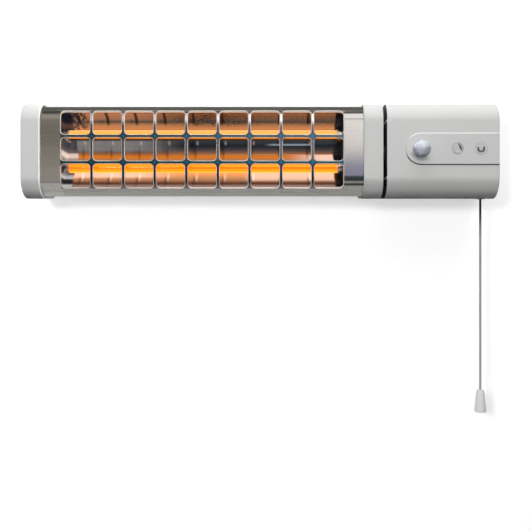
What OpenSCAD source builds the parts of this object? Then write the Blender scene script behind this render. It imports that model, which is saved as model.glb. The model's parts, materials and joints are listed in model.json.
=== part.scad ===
// Wall-mounted infrared heater: a tilting head with two quartz tubes behind a grille, hung
// between an arm and a bracket on one wall rail, and a fixed control box with a motion
// sensor, two flush adjusters and a pull cord.
// +X runs to the right, +Y into the wall and +Z up. The origin lies on the wall, in the
// middle of the four wall screw holes.

/* [Overall] */
// Length of the whole heater
body_len = 600; // [560:5:660]
// Height of the end caps and of the control box
body_h = 121; // [116:1:128]
// Depth from the wall to the flat front
body_d = 110; // [106:1:118]
// Radius of the two front corners
front_r = 25; // [21:1:28]
// Length of the fixed control box
box_len = 141.25; // [138:0.25:150]
// How much the control box narrows towards the wall, above and below
box_taper = 8; // [5:0.5:11]
// Gap between the tilting head and the control box
joint_gap = 4; // [3:0.5:6]

/* [Head] */
// Depth of the tilting head
head_d = 74; // [70:1:78]
// How much the head narrows towards its back, above and below
head_taper = 3.5; // [2:0.5:6]
// Radius of the head's two back corners
back_r = 15; // [12:1:18]
// Largest downward tilt of the head
tilt_max = 40; // [20:5:40]
// Length of the left end cap
cap_len = 24.5; // [22:0.5:30]
// Length of the collar at the head's right end
collar_len = 24.5; // [22:0.5:30]
// Wall of the moulded caps
cap_wall = 2.5; // [2:0.1:3]
// Rounding of the caps' and the control box's outer rims
rim_r = 1.6; // [1:0.2:2.2]
// How far the sheet metal runs in under the caps
sheet_lap = 7; // [5:0.5:9]
// Thickness of the grille, the housing and the reflector cheeks
sheet_t = 1; // [0.8:0.1:1.2]
// Thickness of the two end plates
plate_t = 1.5; // [1.2:0.1:2]
// Depth of the turned rim round an end plate
plate_rim = 8; // [5:1:10]

/* [Grille] */
// Bare sheet between a cap and the first opening
window_margin = 25.6; // [22:0.2:32]
// Height from the lowest to the highest opening edge
window_h = 97; // [90:1:100]
// Wished width of an opening; the count of columns follows from it
opening_w = 35.2; // [28:0.2:44]
// Extra width of the first and the last column
end_extra = 1; // [0:0.25:2]
// Width of the bars between the openings
bar_w = 4.2; // [3.4:0.2:5]
// Height of the middle row of openings
middle_h = 28.8; // [26:0.2:32]
// Corner radius of the openings
opening_r = 4.5; // [3:0.25:6]
// Thickness of the turned lip round an opening
lip_t = 0.7; // [0.5:0.1:0.9]
// Depth of the turned lip behind the sheet
lip_d = 2; // [1:0.25:3]

/* [Heating] */
// Distance of the two tubes' axes from the middle
tube_z = 20.8; // [19:0.2:23]
// Depth of the tubes' axes behind the front
tube_depth = 25; // [24:0.5:28]
// Outer radius of a quartz tube
tube_r = 6.5; // [6:0.25:7]
// Wall of a quartz tube
tube_wall = 1; // [0.8:0.1:1.2]
// Radius of the coil's middle line
coil_r = 4.5; // [3.5:0.25:4.6]
// Radius of the coil's wire
coil_wire_r = 0.5; // [0.4:0.05:0.6]
// Curls on each coil
coil_turns = 40; // [20:1:44]
// Thickness of the reflector sheet
reflector_t = 0.8; // [0.6:0.1:1]

/* [Pivot] */
// Outer radius of the hollow pivot tube
pivot_r = 7; // [6.5:0.25:8]
// Wall of the pivot tube
pivot_wall = 2; // [1.5:0.25:2.5]
// Radius of the pivot tube's flange
flange_r = 16.5; // [15:0.5:17]
// Radius of the hub ring seen in the joint gap
hub_r = 13.5; // [12:0.5:15]
// Radius of the left pivot pin
pin_r = 4; // [3.5:0.25:5]
// Thickness of the arm and of the bracket that carry the head
bracket_t = 2.5; // [2:0.25:3]
// Radius of the tilt stop
stop_r = 2.5; // [2:0.25:3]
// Distance of the tilt stop from the pivot axis
stop_at = 22; // [20:0.5:24]

/* [Control box] */
// Wall of the control box's mouldings
box_wall = 2.5; // [2:0.1:3]
// Distance of the sensor lens from the box's left face
lens_at = 43.05; // [40:0.5:46]
// Distance of the light adjuster from the box's left face
light_at = 87.75; // [80:0.5:92]
// Distance of the time adjuster from the box's left face
time_at = 117.45; // [112:0.5:118]
// Radius of the sensor panel's round end
panel_r = 19.15; // [17:0.25:20]
// Thickness of the sensor panel
panel_t = 2.5; // [2.2:0.1:3]
// How far the sensor panel stands proud
panel_proud = 1; // [0.6:0.1:1.4]
// Radius of the sensor lens
lens_r = 10.75; // [9:0.25:12]
// Radius of the two adjusters
knob_r = 5.6; // [4.5:0.2:6.5]
// Thickness of the circuit board
board_t = 1.6; // [1.2:0.2:2]

/* [Pull cord] */
// Distance of the cord from the box's right face
cord_inset = 11; // [10:0.5:13]
// Depth of the cord behind the front
cord_depth = 47; // [44:1:52]
// Diameter of the pull cord
cord_d = 3; // [2.4:0.2:3.4]
// Height of the bell's top below the middle
bell_drop = 309; // [250:1:400]
// Height of the bell
bell_h = 29.4; // [24:0.5:34]
// Diameter of the bell's foot
bell_d = 15.2; // [13:0.4:18]
// Travel of the pull cord
pull_travel = 10; // [6:1:12]
// Length of the switch lever, from its pin to the cord
lever_len = 14; // [12:0.5:15]

/* [Wall rail] */
// Height of the wall rail
rail_h = 60; // [56:1:62]
// Depth of the wall rail
rail_d = 6; // [5:0.5:7]
// Sheet thickness of the wall rail
rail_t = 1.5; // [1.2:0.1:2]
// Distance between the left and the right wall holes
holes_x = 400; // [380:5:440]
// Distance between the upper and the lower wall holes
holes_z = 34; // [30:1:36]
// Radius of a wall hole
hole_r = 2.75; // [2.25:0.25:3.25]

/* [Hidden] */
$fn = 64;

// Clearances: a running fit, a seat, a small moving gap, an open gap, and the bite of a cut
fit = 0.05;
seat = 0.1;
gap = 0.3;
loose = 0.75;
cut = 1;
// How far a boss sinks into its wall, and the rounding of the caps' inner rims
bite = 0.2;
edge_r = 0.6;

// Places along the heater
x_left = -body_len / 2;
x_right = body_len / 2;
box_x = x_right - box_len;
head_x = box_x - joint_gap;
cap_x = x_left + cap_len;
collar_x = head_x - collar_len;
sheet_x0 = cap_x - sheet_lap;
sheet_x1 = collar_x + sheet_lap;
plate_x0 = sheet_x0 + sheet_t;
plate_x1 = sheet_x1 - sheet_t;
window_x0 = cap_x + window_margin;
window_x1 = collar_x - window_margin;
cheek_out = 2.5;
cheek_x0 = window_x0 - cheek_out;
cheek_x1 = window_x1 + cheek_out;

// Cross-sections as corner circles [y, z, r], taken round from the lower front
front_y = -(body_d - front_r);
front_z = body_h / 2 - front_r;
back_y = -(body_d - head_d + back_r);
back_z = body_h / 2 - head_taper - back_r;
wall_r = 10;
wall_half = body_h / 2 - box_taper;
wall_z = wall_half - wall_r;
head_section = [
    [front_y, -front_z, front_r], [back_y, -back_z, back_r],
    [back_y, back_z, back_r], [front_y, front_z, front_r]
];
box_section = [
    [front_y, -front_z, front_r], [0, -wall_z, wall_r],
    [0, wall_z, wall_r], [front_y, front_z, front_r]
];

// Insets of the nested head pieces from the cap's outline
grille_in = cap_wall + 0.5;
housing_in = grille_in + sheet_t + seat;
plate_in = housing_in + sheet_t + seat;
housing_reach = 22;
grille_reach = 32;
housing_front = -(body_d - housing_reach);
grille_back = -(body_d - grille_reach);

// Vent slots
vent_len = 26;
vent_w = 4;
vent_pitch = 34;
vent_z = 18;
vent_row = 9;

// Pivot axis
pivot_y = -(body_d - head_d / 2);
tube_y = -(body_d - tube_depth);

// Rows and columns of the grille
columns = round((window_x1 - window_x0 + bar_w) / (opening_w + bar_w));
// The pitch is a whole number of hundredths, and the last column takes up what is left
pitch = round(100 * (window_x1 - window_x0 + bar_w - 2 * end_extra) / columns) / 100;
row_edges = [
    [-window_h / 2, -middle_h / 2 - bar_w], [-middle_h / 2, middle_h / 2],
    [middle_h / 2 + bar_w, window_h / 2]
];

// Reflector section, as [depth behind the front, distance from the middle] of the inside
reflector_half = [[13.5, 50.2], [10.5, 46], [21, 42.6], [37.5, 19.3], [46, 0]];
reflector_inside = [
    for (p = reflector_half) [p[0] - body_d, p[1]],
    for (i = [len(reflector_half) - 2:-1:0])
        [reflector_half[i][0] - body_d, -reflector_half[i][1]]
];

// Tube ends, held by ceramic caps between the cheeks and the end plates
ceramic_r = tube_r + 1.5;
ceramic_flange = 3;
ceramic_tail_r = 5;
tube_end = 13;
tail_out = 0.5;
terminal_r = 2;
terminal_len = 4.2;
terminal_collar = 0.8;
strap_t = 0.8;
strap_x = -seat - strap_t - terminal_collar;
strap_half = 4;
tube_gap = 0.4;

// Left pivot, from the arm inwards
arm_out = 8.5;
arm_x = plate_x0 - arm_out;
arm_half = 11;
arm_foot = 25;
bush_r = pin_r + 2;
bush_flange_r = bush_r + 1.4;
bush_end = plate_x0 + plate_t + 3;
pin_head_t = 1.8;
clip_t = 0.8;
rivet_r = 2;
rivet_x = arm_x + 15;
rivet_z = 9;
rivet_head_t = 1;
cheek_d = 52;
flange_screw_at = 12;
flange_screw_r = 1.5;
dimple_r = 9;
rail_x0 = arm_x - 2;
rail_x1 = x_right - 10;

// Screws that hold the caps, in bosses inside them
cap_screw_z = front_z + 6.5;
cap_screw_r = 1.35;
cap_screw_head_r = 3;
cap_screw_reach = 2;
recess_d = 1.6;
boss_r = 4;

// Right pivot, from the box's wall to the nut
bracket_x = box_x + box_wall + 1;
bracket_half = 14;
bracket_bend = 3;
bracket_root = 18;
bracket_foot = [26, 24];
bracket_bush_r = pivot_r + 2;
bush_flange = 1.5;
washer_x = bracket_x + bracket_t + bush_flange + seat;
washer_t = 1;
nut_x = washer_x + washer_t;
nut_h = 7;
flange_t = 2;
pivot_end = nut_x + nut_h + 1.6;
pivot_hole_r = pivot_r + 2.6;
stop_angle = 35;
stop_y = pivot_y + stop_at * cos(stop_angle);
stop_z = stop_at * sin(stop_angle);
lead_r = 1.2;
box_lead_r = 2.6;
lead_path = [
    [0, 0, 0], [0.15, 0, 0], [0.35, 0.05, 0.05], [0.58, 0.18, 0.2], [0.92, 0.39, 0.45],
    [0.98, 0.63, 0.7], [1, 0.84, 0.93], [1, 0.94, 1], [1, 1, 1]
];

// Control box
split_y = pivot_y;
rear_y = -rail_d - box_wall;
lens_x = box_x + lens_at;
light_x = box_x + light_at;
time_x = box_x + time_at;
panel_y = -body_d - panel_proud;
panel_back = panel_y + panel_t;
lens_flange_r = lens_r + 1.6;
lens_flange_t = 1;
lens_collar = 0.8;
lens_wall = 0.8;
board_y = -body_d + 18;
board_back = board_y + board_t;
board_x0 = lens_x - 14;
board_x1 = time_x + 12;
board_half = 26;
board_posts = [
    for (x = [board_x0 + 5, board_x1 - 5], z = [-1, 1]) [x, z * (board_half - 4)]
];
board_screw_r = 1.1;
board_screw_len = 7;
pot_h = 6;
shaft_r = 3;
shaft_end = board_y - 2.8;
knob_t = 2;
knob_proud = 0.3;
slot_w = 1.6;
slot_d = 1;
rail_screw_at = [[bracket_x + 16, 18], [x_right - 24, 18]];
cover_screw_x = [box_x + 22, x_right - 34];
cover_screw_y = split_y - 7;
cover_screw_r = 1.4;
cover_screw_head_r = 2.9;
cover_recess = 1.3;
rail_screw_r = 2;
tab_half = 6;
tab_d = 14;
tab_t = 3;

// Supply side, at the back of the control box
cable_r = 4.5;
grommet_r = cable_r + 3.5;
grommet_x = box_x + 56;
grommet_z = -(wall_half - box_wall - grommet_r);
clamp_x = grommet_x + 28;
clamp_half = 10;
clamp_h = 8;
clamp_top = rear_y - 5;
clamp_bar_t = 4;
clamp_screw_at = 7.5;
bar_top = rear_y - 12;
supply_screw_r = 1.5;
terminal_x = grommet_x - 16;
terminal_y = rear_y - 3;
terminal_z = -rail_h / 2 + 2;
terminal_pitch = 11;
terminal_h = 16;
terminal_d = 7;
terminal_tower = 6;
terminal_screws = [
    for (i = [0:2], z = [4, 12]) [terminal_x + terminal_pitch * (i + 0.5), terminal_z + z]
];
tunnel_r = 1.8;

// Pull cord and its switch
cord_x = x_right - cord_inset;
cord_y = -(body_d - cord_depth);
cord_r = cord_d / 2;
guide_r = 3.3;
guide_flange_r = guide_r + 1.7;
guide_flange_t = 1.2;
// The guide's flange lies just inside the sloping underside
guide_face = seat - box_half(cord_y - guide_flange_r);
lever_x = cord_x - lever_len;
lever_z = -body_h / 2 + 28.5;
lever_t = 3;
lever_w = 7.4;
lever_pin_r = 1.5;
lever_hub_r = 3.4;
ear_t = 2;
switch_drop = 18;
lever_slot = cord_d + 1;
lever_swing = atan(pull_travel / 2 / lever_len);
knot_r = 3;
knot_flat = 2.4;
knot_z = lever_z + pull_travel / 2
    + (lever_t / 2 + sqrt(pow(knot_r + gap, 2) - pow(lever_slot / 2, 2))) / cos(lever_swing);
cord_route = [[cord_x, cord_y, knot_z - knot_flat], [cord_x, cord_y, -bell_drop]];

// Colours
warm_white = [0.86, 0.86, 0.85];
steel = [0.66, 0.65, 0.62];
bright = [0.85, 0.84, 0.82];
zinc = [0.6, 0.62, 0.63];
brass = [0.78, 0.66, 0.36];
nylon = [0.92, 0.91, 0.88];
ceramic = [0.93, 0.9, 0.84];
dark = [0.16, 0.16, 0.17];

// Outline helpers
// The common outer tangents of corner circles taken anticlockwise, moved inwards by inset
function side_points(c, inset, i) =
    let (a = c[i], b = c[(i + 1) % len(c)],
         d = [b[0] - a[0], b[1] - a[1]], l = norm(d),
         k = (a[2] - b[2]) / l, s = sqrt(1 - k * k),
         n = [k * d[0] + s * d[1], k * d[1] - s * d[0]] / l)
    [[a[0], a[1]] + (a[2] - inset) * n, [b[0], b[1]] + (b[2] - inset) * n];

module outline(circles, inset = 0) {
    polygon([for (i = [0:len(circles) - 1]) each side_points(circles, inset, i)]);
    for (c = circles) translate([c[0], c[1]]) circle(c[2] - inset);
}

// A flat shape drawn in [y, z], from one x to another
module along_x(x0, x1) {
    translate([x0, 0, 0]) rotate([90, 0, 90]) linear_extrude(x1 - x0) children();
}

// A flat shape drawn in [x, z], from one y to another
module along_y(y0, y1) {
    translate([0, y1, 0]) rotate([90, 0, 0]) linear_extrude(y1 - y0) children();
}

module rod_x(r, x0, x1, y = pivot_y, z = 0) {
    translate([x0, y, z]) rotate([0, 90, 0]) cylinder(h = x1 - x0, r = r);
}

module rod_y(r, y0, y1, x, z) {
    translate([x, y0, z]) rotate([-90, 0, 0]) cylinder(h = y1 - y0, r = r);
}

module rod_z(r, z0, z1, x, y) {
    translate([x, y, z0]) cylinder(h = z1 - z0, r = r);
}

// A box from its lowest to its highest corner
module block(lo, hi) {
    translate(lo) cube(hi - lo);
}

module rounded_rect(w, h, r) {
    square([w, h - 2 * r], center = true);
    square([w - 2 * r, h], center = true);
    for (x = [-1, 1], y = [-1, 1]) translate([x * (w / 2 - r), y * (h / 2 - r)]) circle(r);
}

function arc(x, y, r, a0, a1, n) =
    [for (i = [0:n]) let (a = a0 + (a1 - a0) * i / n) [x + r * cos(a), y + r * sin(a)]];

// A convex block along X over corner circles, with its rims rounded by e0 and e1
module rounded_block(circles, x0, x1, e0, e1) {
    hull() for (c = circles) translate([x0, c[0], c[1]]) rotate([0, 90, 0])
        rotate_extrude($fn = 32) polygon(concat(
            [[0, 0]], arc(c[2] - e0, e0, e0, -90, 0, 3),
            arc(c[2] - e1, x1 - x0 - e1, e1, 0, 90, 3), [[0, x1 - x0]]));
}

// A strip of even thickness behind a folded line, by moving each corner square to its sides
function left_of(a, b) = let (d = b - a) [-d[1], d[0]] / norm(d);
function moved(p, t) = [
    for (i = [0:len(p) - 1])
        let (a = i == 0 ? left_of(p[0], p[1]) : left_of(p[i - 1], p[i]),
             b = i == len(p) - 1 ? a : left_of(p[i], p[i + 1]))
        p[i] + t * (a + b) / (1 + a * b)
];
function reversed(p) = [for (i = [len(p) - 1:-1:0]) p[i]];

// A tube swept along points, its rings square to the path
function unit(v) = v / norm(v);
function tangents(p) = [
    for (i = [0:len(p) - 1]) unit(p[min(i + 1, len(p) - 1)] - p[max(i - 1, 0)])
];
module swept(p, r, sides, way) {
    t = tangents(p);
    rings = [
        for (i = [0:len(p) - 1])
            let (w = is_list(way[0]) ? way[i] : way, u = unit(cross(t[i], w)), v = cross(u, t[i]))
            for (k = [0:sides - 1])
                let (a = 360 * k / sides) p[i] + r * (cos(a) * u + sin(a) * v)
    ];
    n = len(p);
    walls = [
        for (i = [0:n - 2], k = [0:sides - 1])
            let (a = i * sides + k, b = i * sides + (k + 1) % sides)
            each [[a, b, b + sides], [a, b + sides, a + sides]]
    ];
    ends = [
        for (k = [1:sides - 2])
            each [[0, k + 1, k], [(n - 1) * sides, (n - 1) * sides + k, (n - 1) * sides + k + 1]]
    ];
    polyhedron(rings, concat(walls, ends));
}

// Head shells
module left_end_cap() {
    color(warm_white) difference() {
        union() {
            difference() {
                rounded_block(head_section, x_left, cap_x, rim_r, edge_r);
                along_x(x_left + cap_wall, cap_x + cut) outline(head_section, cap_wall);
            }
            for (z = [-1, 1])
                rod_x(boss_r, x_left + cap_wall - bite, plate_x0, front_y, z * cap_screw_z);
        }
        along_x(arm_x - loose, arm_x + bracket_t + loose) arm_sweep();
        for (z = [-1, 1]) {
            rod_x(cap_screw_r + gap, x_left - cut, plate_x0 + cut, front_y, z * cap_screw_z);
            rod_x(cap_screw_head_r + bite, x_left - cut, x_left + recess_d, front_y,
                z * cap_screw_z);
        }
    }
}

module right_end_cap() {
    color(warm_white) difference() {
        union() {
            difference() {
                rounded_block(head_section, collar_x, head_x, edge_r, rim_r);
                along_x(collar_x - cut, head_x - cap_wall) outline(head_section, cap_wall);
            }
            for (z = [-1, 1])
                rod_x(boss_r, plate_x1, head_x - cap_wall + bite, front_y, z * cap_screw_z);
        }
        rod_x(pivot_r + gap, head_x - cap_wall - cut, head_x + cut);
        along_x(head_x - cap_wall - cut, head_x + cut) stop_slot();
        for (z = [-1, 1]) {
            rod_x(cap_screw_r + gap, plate_x1 - cut, head_x + cut, front_y, z * cap_screw_z);
            rod_x(cap_screw_head_r + bite, head_x - recess_d, head_x + cut, front_y,
                z * cap_screw_z);
        }
    }
}

// The space that the fixed arm sweeps through the left cap while the head tilts
module arm_sweep() {
    reach = head_d + 6;
    half = arm_half + loose;
    translate([pivot_y, 0]) {
        for (a = [0, -tilt_max]) rotate(a) translate([0, -half]) square([reach, 2 * half]);
        polygon([[0, 0], reach * [cos(tilt_max), -sin(tilt_max)], [reach, 0]]);
    }
}

// The curved slot that the tilt stop runs in
module stop_slot() {
    half = stop_r + 2 * gap;
    spare = asin(half / stop_at);
    reach = stop_at + half + 5;
    translate([pivot_y, 0]) intersection() {
        difference() {
            circle(stop_at + half);
            circle(stop_at - half);
        }
        polygon([[0, 0], for (a = [stop_angle - tilt_max - spare, stop_angle + spare])
            reach * [cos(a), sin(a)]]);
    }
}

// One sheet of the head's casing, from its outer inset, between two depths
module sheet_section(inset, y0, y1) {
    intersection() {
        difference() {
            outline(head_section, inset);
            outline(head_section, inset + sheet_t);
        }
        translate([y0, -body_h]) square([y1 - y0, 2 * body_h]);
    }
}

// The grille's openings seen from the front, widened all round by grow
module openings(grow = 0) {
    for (i = [0:columns - 1], row = row_edges) {
        x0 = window_x0 + i * pitch + (i > 0 ? end_extra : 0);
        x1 = i < columns - 1 ? window_x0 + end_extra + (i + 1) * pitch - bar_w : window_x1;
        translate([(x0 + x1) / 2, (row[0] + row[1]) / 2])
            rounded_rect(x1 - x0 + 2 * grow, row[1] - row[0] + 2 * grow, opening_r + grow);
    }
}

module front_grille() {
    color(steel) difference() {
        union() {
            along_x(sheet_x0, sheet_x1) sheet_section(grille_in, -body_d, grille_back);
            intersection() {
                along_x(window_x0 - 2, window_x1 + 2) difference() {
                    outline(head_section, grille_in + sheet_t / 2);
                    outline(head_section, grille_in + sheet_t + lip_d);
                }
                along_y(-body_d, front_y) openings(lip_t);
            }
        }
        along_y(-body_d - cut, front_y + cut) openings();
    }
}

// A row of vent slots along the head, centred on its middle
module vents() {
    count = floor((sheet_x1 - sheet_x0 - 2 * vent_len) / vent_pitch);
    middle = (sheet_x0 + sheet_x1) / 2;
    for (i = [0:count - 1]) translate([middle + (i - (count - 1) / 2) * vent_pitch, 0])
        rounded_rect(vent_len, vent_w, vent_w * 0.45);
}

module rear_housing() {
    color(steel) difference() {
        along_x(sheet_x0, sheet_x1) sheet_section(housing_in, housing_front, 0);
        for (z = [-1, 1]) along_y(-body_d + head_d - housing_in - 2 * sheet_t, 0)
            translate([0, z * vent_z]) vents();
        for (y = [0, vent_row]) translate([0, pivot_y + y, -body_h])
            linear_extrude(2 * body_h) vents();
    }
}

// An end plate of the head: a pressed pan with its rim turned towards the window
module end_plate(outer, inner) {
    way = sign(inner - outer);
    difference() {
        along_x(min(outer, outer + way * plate_rim), max(outer, outer + way * plate_rim))
            outline(head_section, plate_in);
        along_x(min(outer + way * plate_t, outer + way * (plate_rim + cut)),
                max(outer + way * plate_t, outer + way * (plate_rim + cut)))
            outline(head_section, plate_in + sheet_t);
        for (z = [-1, 1]) {
            rod_x(ceramic_tail_r + seat, outer - 2 * plate_t, outer + 2 * plate_t, tube_y,
                z * tube_z);
            rod_x(cap_screw_r + fit, outer - 2 * plate_t, outer + 2 * plate_t, front_y,
                z * cap_screw_z);
        }
    }
}

module left_end_plate() {
    color(zinc) difference() {
        end_plate(plate_x0, cap_x);
        rod_x(bush_r + fit, plate_x0 - cut, plate_x0 + plate_t + cut);
    }
}

module right_end_plate() {
    color(zinc) difference() {
        end_plate(plate_x1, collar_x);
        for (a = [45:90:315]) rod_x(flange_screw_r + fit, plate_x1 - 2 * plate_t, plate_x1 + cut,
            pivot_y + flange_screw_at * cos(a), flange_screw_at * sin(a));
    }
}

module reflector() {
    color(bright) along_x(cheek_x0 + sheet_t + seat, cheek_x1 - sheet_t - seat)
        polygon(concat(reflector_inside, reversed(moved(reflector_inside, reflector_t))));
}

// A cheek closes one end of the reflector and lets the tubes through
module cheek(x0) {
    color(bright) along_x(x0, x0 + sheet_t) difference() {
        intersection() {
            outline(head_section, plate_in);
            translate([-body_d, -body_h]) square([cheek_d, 2 * body_h]);
        }
        for (z = [-1, 1]) translate([tube_y, z * tube_z]) circle(tube_r + tube_gap);
    }
}
module left_cheek() { cheek(cheek_x0); }
module right_cheek() { cheek(cheek_x1 - sheet_t); }

module quartz_tube(z) {
    color([0.9, 0.75, 0.6, 0.5]) difference() {
        rod_x(tube_r, cheek_x0 - tube_end, cheek_x1 + tube_end, tube_y, z);
        rod_x(tube_r - tube_wall, cheek_x0 - tube_end - cut, cheek_x1 + tube_end + cut, tube_y, z);
    }
}
module upper_quartz_tube() { quartz_tube(tube_z); }
module lower_quartz_tube() { quartz_tube(-tube_z); }

// The heating coil: its curls, opening out of straight leads that run to the terminals
coil_steps = 8 * coil_turns;
coil_x0 = cheek_x0 + sheet_t + 3;
coil_x1 = cheek_x1 - sheet_t - 3;
lead_x0 = plate_x0 - tail_out;
lead_x1 = plate_x1 + tail_out;
function coil_angle(i) = 45 * i;
coil_curls = [
    for (i = [0:coil_steps])
        let (r = coil_r * min(1, i / 4, (coil_steps - i) / 4), a = coil_angle(i))
        [coil_x0 + (coil_x1 - coil_x0) * i / coil_steps, r * cos(a), r * sin(a)]
];
coil_path = concat([[lead_x0, 0, 0], [coil_x0 - 2, 0, 0]], coil_curls,
                   [[coil_x1 + 2, 0, 0], [lead_x1, 0, 0]]);
coil_ways = [
    for (i = [-2:coil_steps + 2])
        let (a = coil_angle(max(0, min(coil_steps, i)))) [0, cos(a), sin(a)]
];
coil_gap = min([
    for (i = [0:coil_steps - 5], j = [i + 5:min(i + 12, coil_steps)])
        norm(coil_curls[j] - coil_curls[i])
]) - 2 * coil_wire_r;
echo(least_gap_between_curls_mm = coil_gap);

module coil(z) {
    color([0.95, 0.5, 0.15]) translate([0, tube_y, z])
        swept(coil_path, coil_wire_r, 6, coil_ways);
}
module upper_coil() { coil(tube_z); }
module lower_coil() { coil(-tube_z); }

// A ceramic cap, from the cheek's outer face to just outside the end plate
module ceramic_cap(from, to, z) {
    way = sign(to - from);
    color(ceramic) translate([from, tube_y, z]) rotate([0, way * 90, 0]) rotate_extrude()
        difference() {
            union() {
                square([ceramic_r + 1.6, ceramic_flange]);
                square([ceramic_r, tube_end + 2]);
                square([ceramic_tail_r, abs(to - from)]);
            }
            translate([0, -cut]) square([tube_r + seat, tube_end + cut + gap]);
            translate([0, -cut]) square([coil_wire_r + seat, abs(to - from) + 2 * cut]);
        }
}

module ceramic_caps() {
    for (z = [-1, 1]) {
        ceramic_cap(cheek_x0 - seat, lead_x0, z * tube_z);
        ceramic_cap(cheek_x1 + seat, lead_x1, z * tube_z);
    }
}

module tube_terminals() {
    color(brass) for (z = [-1, 1]) {
        rod_x(terminal_r, lead_x0 - terminal_len, lead_x0, tube_y, z * tube_z);
        rod_x(terminal_r + 1.5, lead_x0 - terminal_collar, lead_x0, tube_y, z * tube_z);
        rod_x(terminal_r, lead_x1, lead_x1 + terminal_len, tube_y, z * tube_z);
        rod_x(terminal_r + 1.5, lead_x1, lead_x1 + terminal_collar, tube_y, z * tube_z);
    }
}

// The strap that joins the two tubes at the left, with a hole over each terminal
module link_strap() {
    color(brass) along_x(lead_x0 + strap_x, lead_x0 + strap_x + strap_t) difference() {
        union() {
            translate([tube_y - strap_half, -tube_z]) square([strap_half + 1, 2 * tube_z]);
            for (z = [-1, 1]) translate([tube_y, z * tube_z]) circle(strap_half);
        }
        for (z = [-1, 1]) translate([tube_y, z * tube_z]) circle(terminal_r + fit);
    }
}

// The disc thermostat that cuts the heat off, on the outside of the right end plate
module thermal_cutout() {
    y = pivot_y + 21;
    z = -30;
    color(dark) {
        rod_x(8, plate_x1, plate_x1 + 6, y, z);
        block([plate_x1, y - 3, z - 12], [plate_x1 + 0.8, y + 3, z + 12]);
        for (s = [-1, 1]) block([plate_x1 + 5, y - 0.4, z + s * 3.5 - 1.5],
                                [plate_x1 + 11, y + 0.4, z + s * 3.5 + 1.5]);
    }
}

module cap_screws() {
    color(zinc) for (z = [-1, 1] * cap_screw_z) {
        rod_x(cap_screw_head_r, x_left + seat, x_left + recess_d, front_y, z);
        rod_x(cap_screw_r, x_left + 1, plate_x0 + plate_t + cap_screw_reach, front_y, z);
        rod_x(cap_screw_head_r, head_x - recess_d, head_x - seat, front_y, z);
        rod_x(cap_screw_r, plate_x1 - plate_t - cap_screw_reach, head_x - 1, front_y, z);
    }
}

// Left pivot: the pin stays with the arm, and the bush turns on it with the head
module left_pivot_bush() {
    color(nylon) difference() {
        union() {
            rod_x(bush_flange_r, arm_x + bracket_t + gap, plate_x0);
            rod_x(bush_r, plate_x0 - bite, bush_end);
        }
        rod_x(pin_r + fit, arm_x, bush_end + cut);
    }
}

module pivot_pin() {
    color(zinc) difference() {
        union() {
            rod_x(pin_r + 3, arm_x - pin_head_t, arm_x);
            rod_x(pin_r, arm_x - bite, bush_end + 3);
        }
        translate([bush_end + gap, pivot_y, 0]) rotate([0, 90, 0]) difference() {
            cylinder(h = clip_t + 2 * fit, r = pin_r + cut);
            translate([0, 0, -cut]) cylinder(h = 3, r = pin_r - clip_t);
        }
    }
}

module pin_clip() {
    color(zinc) difference() {
        rod_x(pin_r + 2.5, bush_end + gap + fit, bush_end + gap + fit + clip_t);
        rod_x(pin_r - clip_t + fit, bush_end, bush_end + 3);
        block([bush_end, pivot_y, -pin_r + 1.4], [bush_end + 3, pivot_y + 12, pin_r - 1.4]);
    }
}

module pivot_arm() {
    color(steel) difference() {
        union() {
            along_x(arm_x, arm_x + bracket_t) {
                translate([pivot_y, -arm_half]) square([-rail_d - pivot_y, 2 * arm_half]);
                translate([pivot_y, 0]) circle(arm_half);
            }
            block([arm_x, -rail_d - bracket_t, -arm_half - 5],
                  [arm_x + arm_foot, -rail_d, arm_half + 5]);
        }
        rod_x(pin_r + fit, arm_x - cut, arm_x + bracket_t + cut);
        for (z = [-1, 1]) rod_y(rivet_r + fit, -rail_d - bracket_t - cut, 0, rivet_x, z * rivet_z);
    }
}

module arm_rivets() {
    front = -rail_d - bracket_t;
    back = -rail_d + rail_t;
    color(zinc) for (z = [-1, 1] * rivet_z) {
        rod_y(rivet_r, front - rivet_head_t, back + rivet_head_t, rivet_x, z);
        rod_y(rivet_r + 1.6, front - rivet_head_t - bite, front, rivet_x, z);
        rod_y(rivet_r + 1, back, back + rivet_head_t, rivet_x, z);
    }
}

// Right pivot: the hollow tube turns with the head in a bush that the bracket holds
module pivot_tube() {
    color(zinc) difference() {
        union() {
            rod_x(flange_r, plate_x1, plate_x1 + flange_t);
            rod_x(pivot_r, plate_x1, pivot_end);
        }
        rod_x(pivot_r - pivot_wall, plate_x1 + flange_t, pivot_end + cut);
        block([plate_x1 + 6, pivot_y - pivot_r - cut, -3.4],
              [plate_x1 + 15, pivot_y - 2, 3.4]);
        for (a = [45:90:315]) rod_x(flange_screw_r + fit, plate_x1 - cut, plate_x1 + 3,
            pivot_y + flange_screw_at * cos(a), flange_screw_at * sin(a));
    }
}

module flange_screws() {
    color(zinc) for (a = [45:90:315]) {
        y = pivot_y + flange_screw_at * cos(a);
        z = flange_screw_at * sin(a);
        rod_x(flange_screw_r + 1.2, plate_x1 + flange_t, plate_x1 + flange_t + 1.5, y, z);
        rod_x(flange_screw_r, plate_x1 - plate_t - 2, plate_x1 + flange_t + 1, y, z);
    }
}

module friction_washer() {
    color(dark) difference() {
        rod_x(pivot_r + 4.5, washer_x, washer_x + washer_t);
        rod_x(pivot_r + seat, washer_x - cut, washer_x + washer_t + cut);
    }
}

module pivot_nut() {
    color(brass) difference() {
        translate([nut_x, pivot_y, 0]) rotate([0, 90, 0]) cylinder(h = nut_h, r = pivot_r + 5, $fn = 6);
        rod_x(pivot_r + fit, nut_x - cut, nut_x + nut_h + cut);
    }
}

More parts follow.
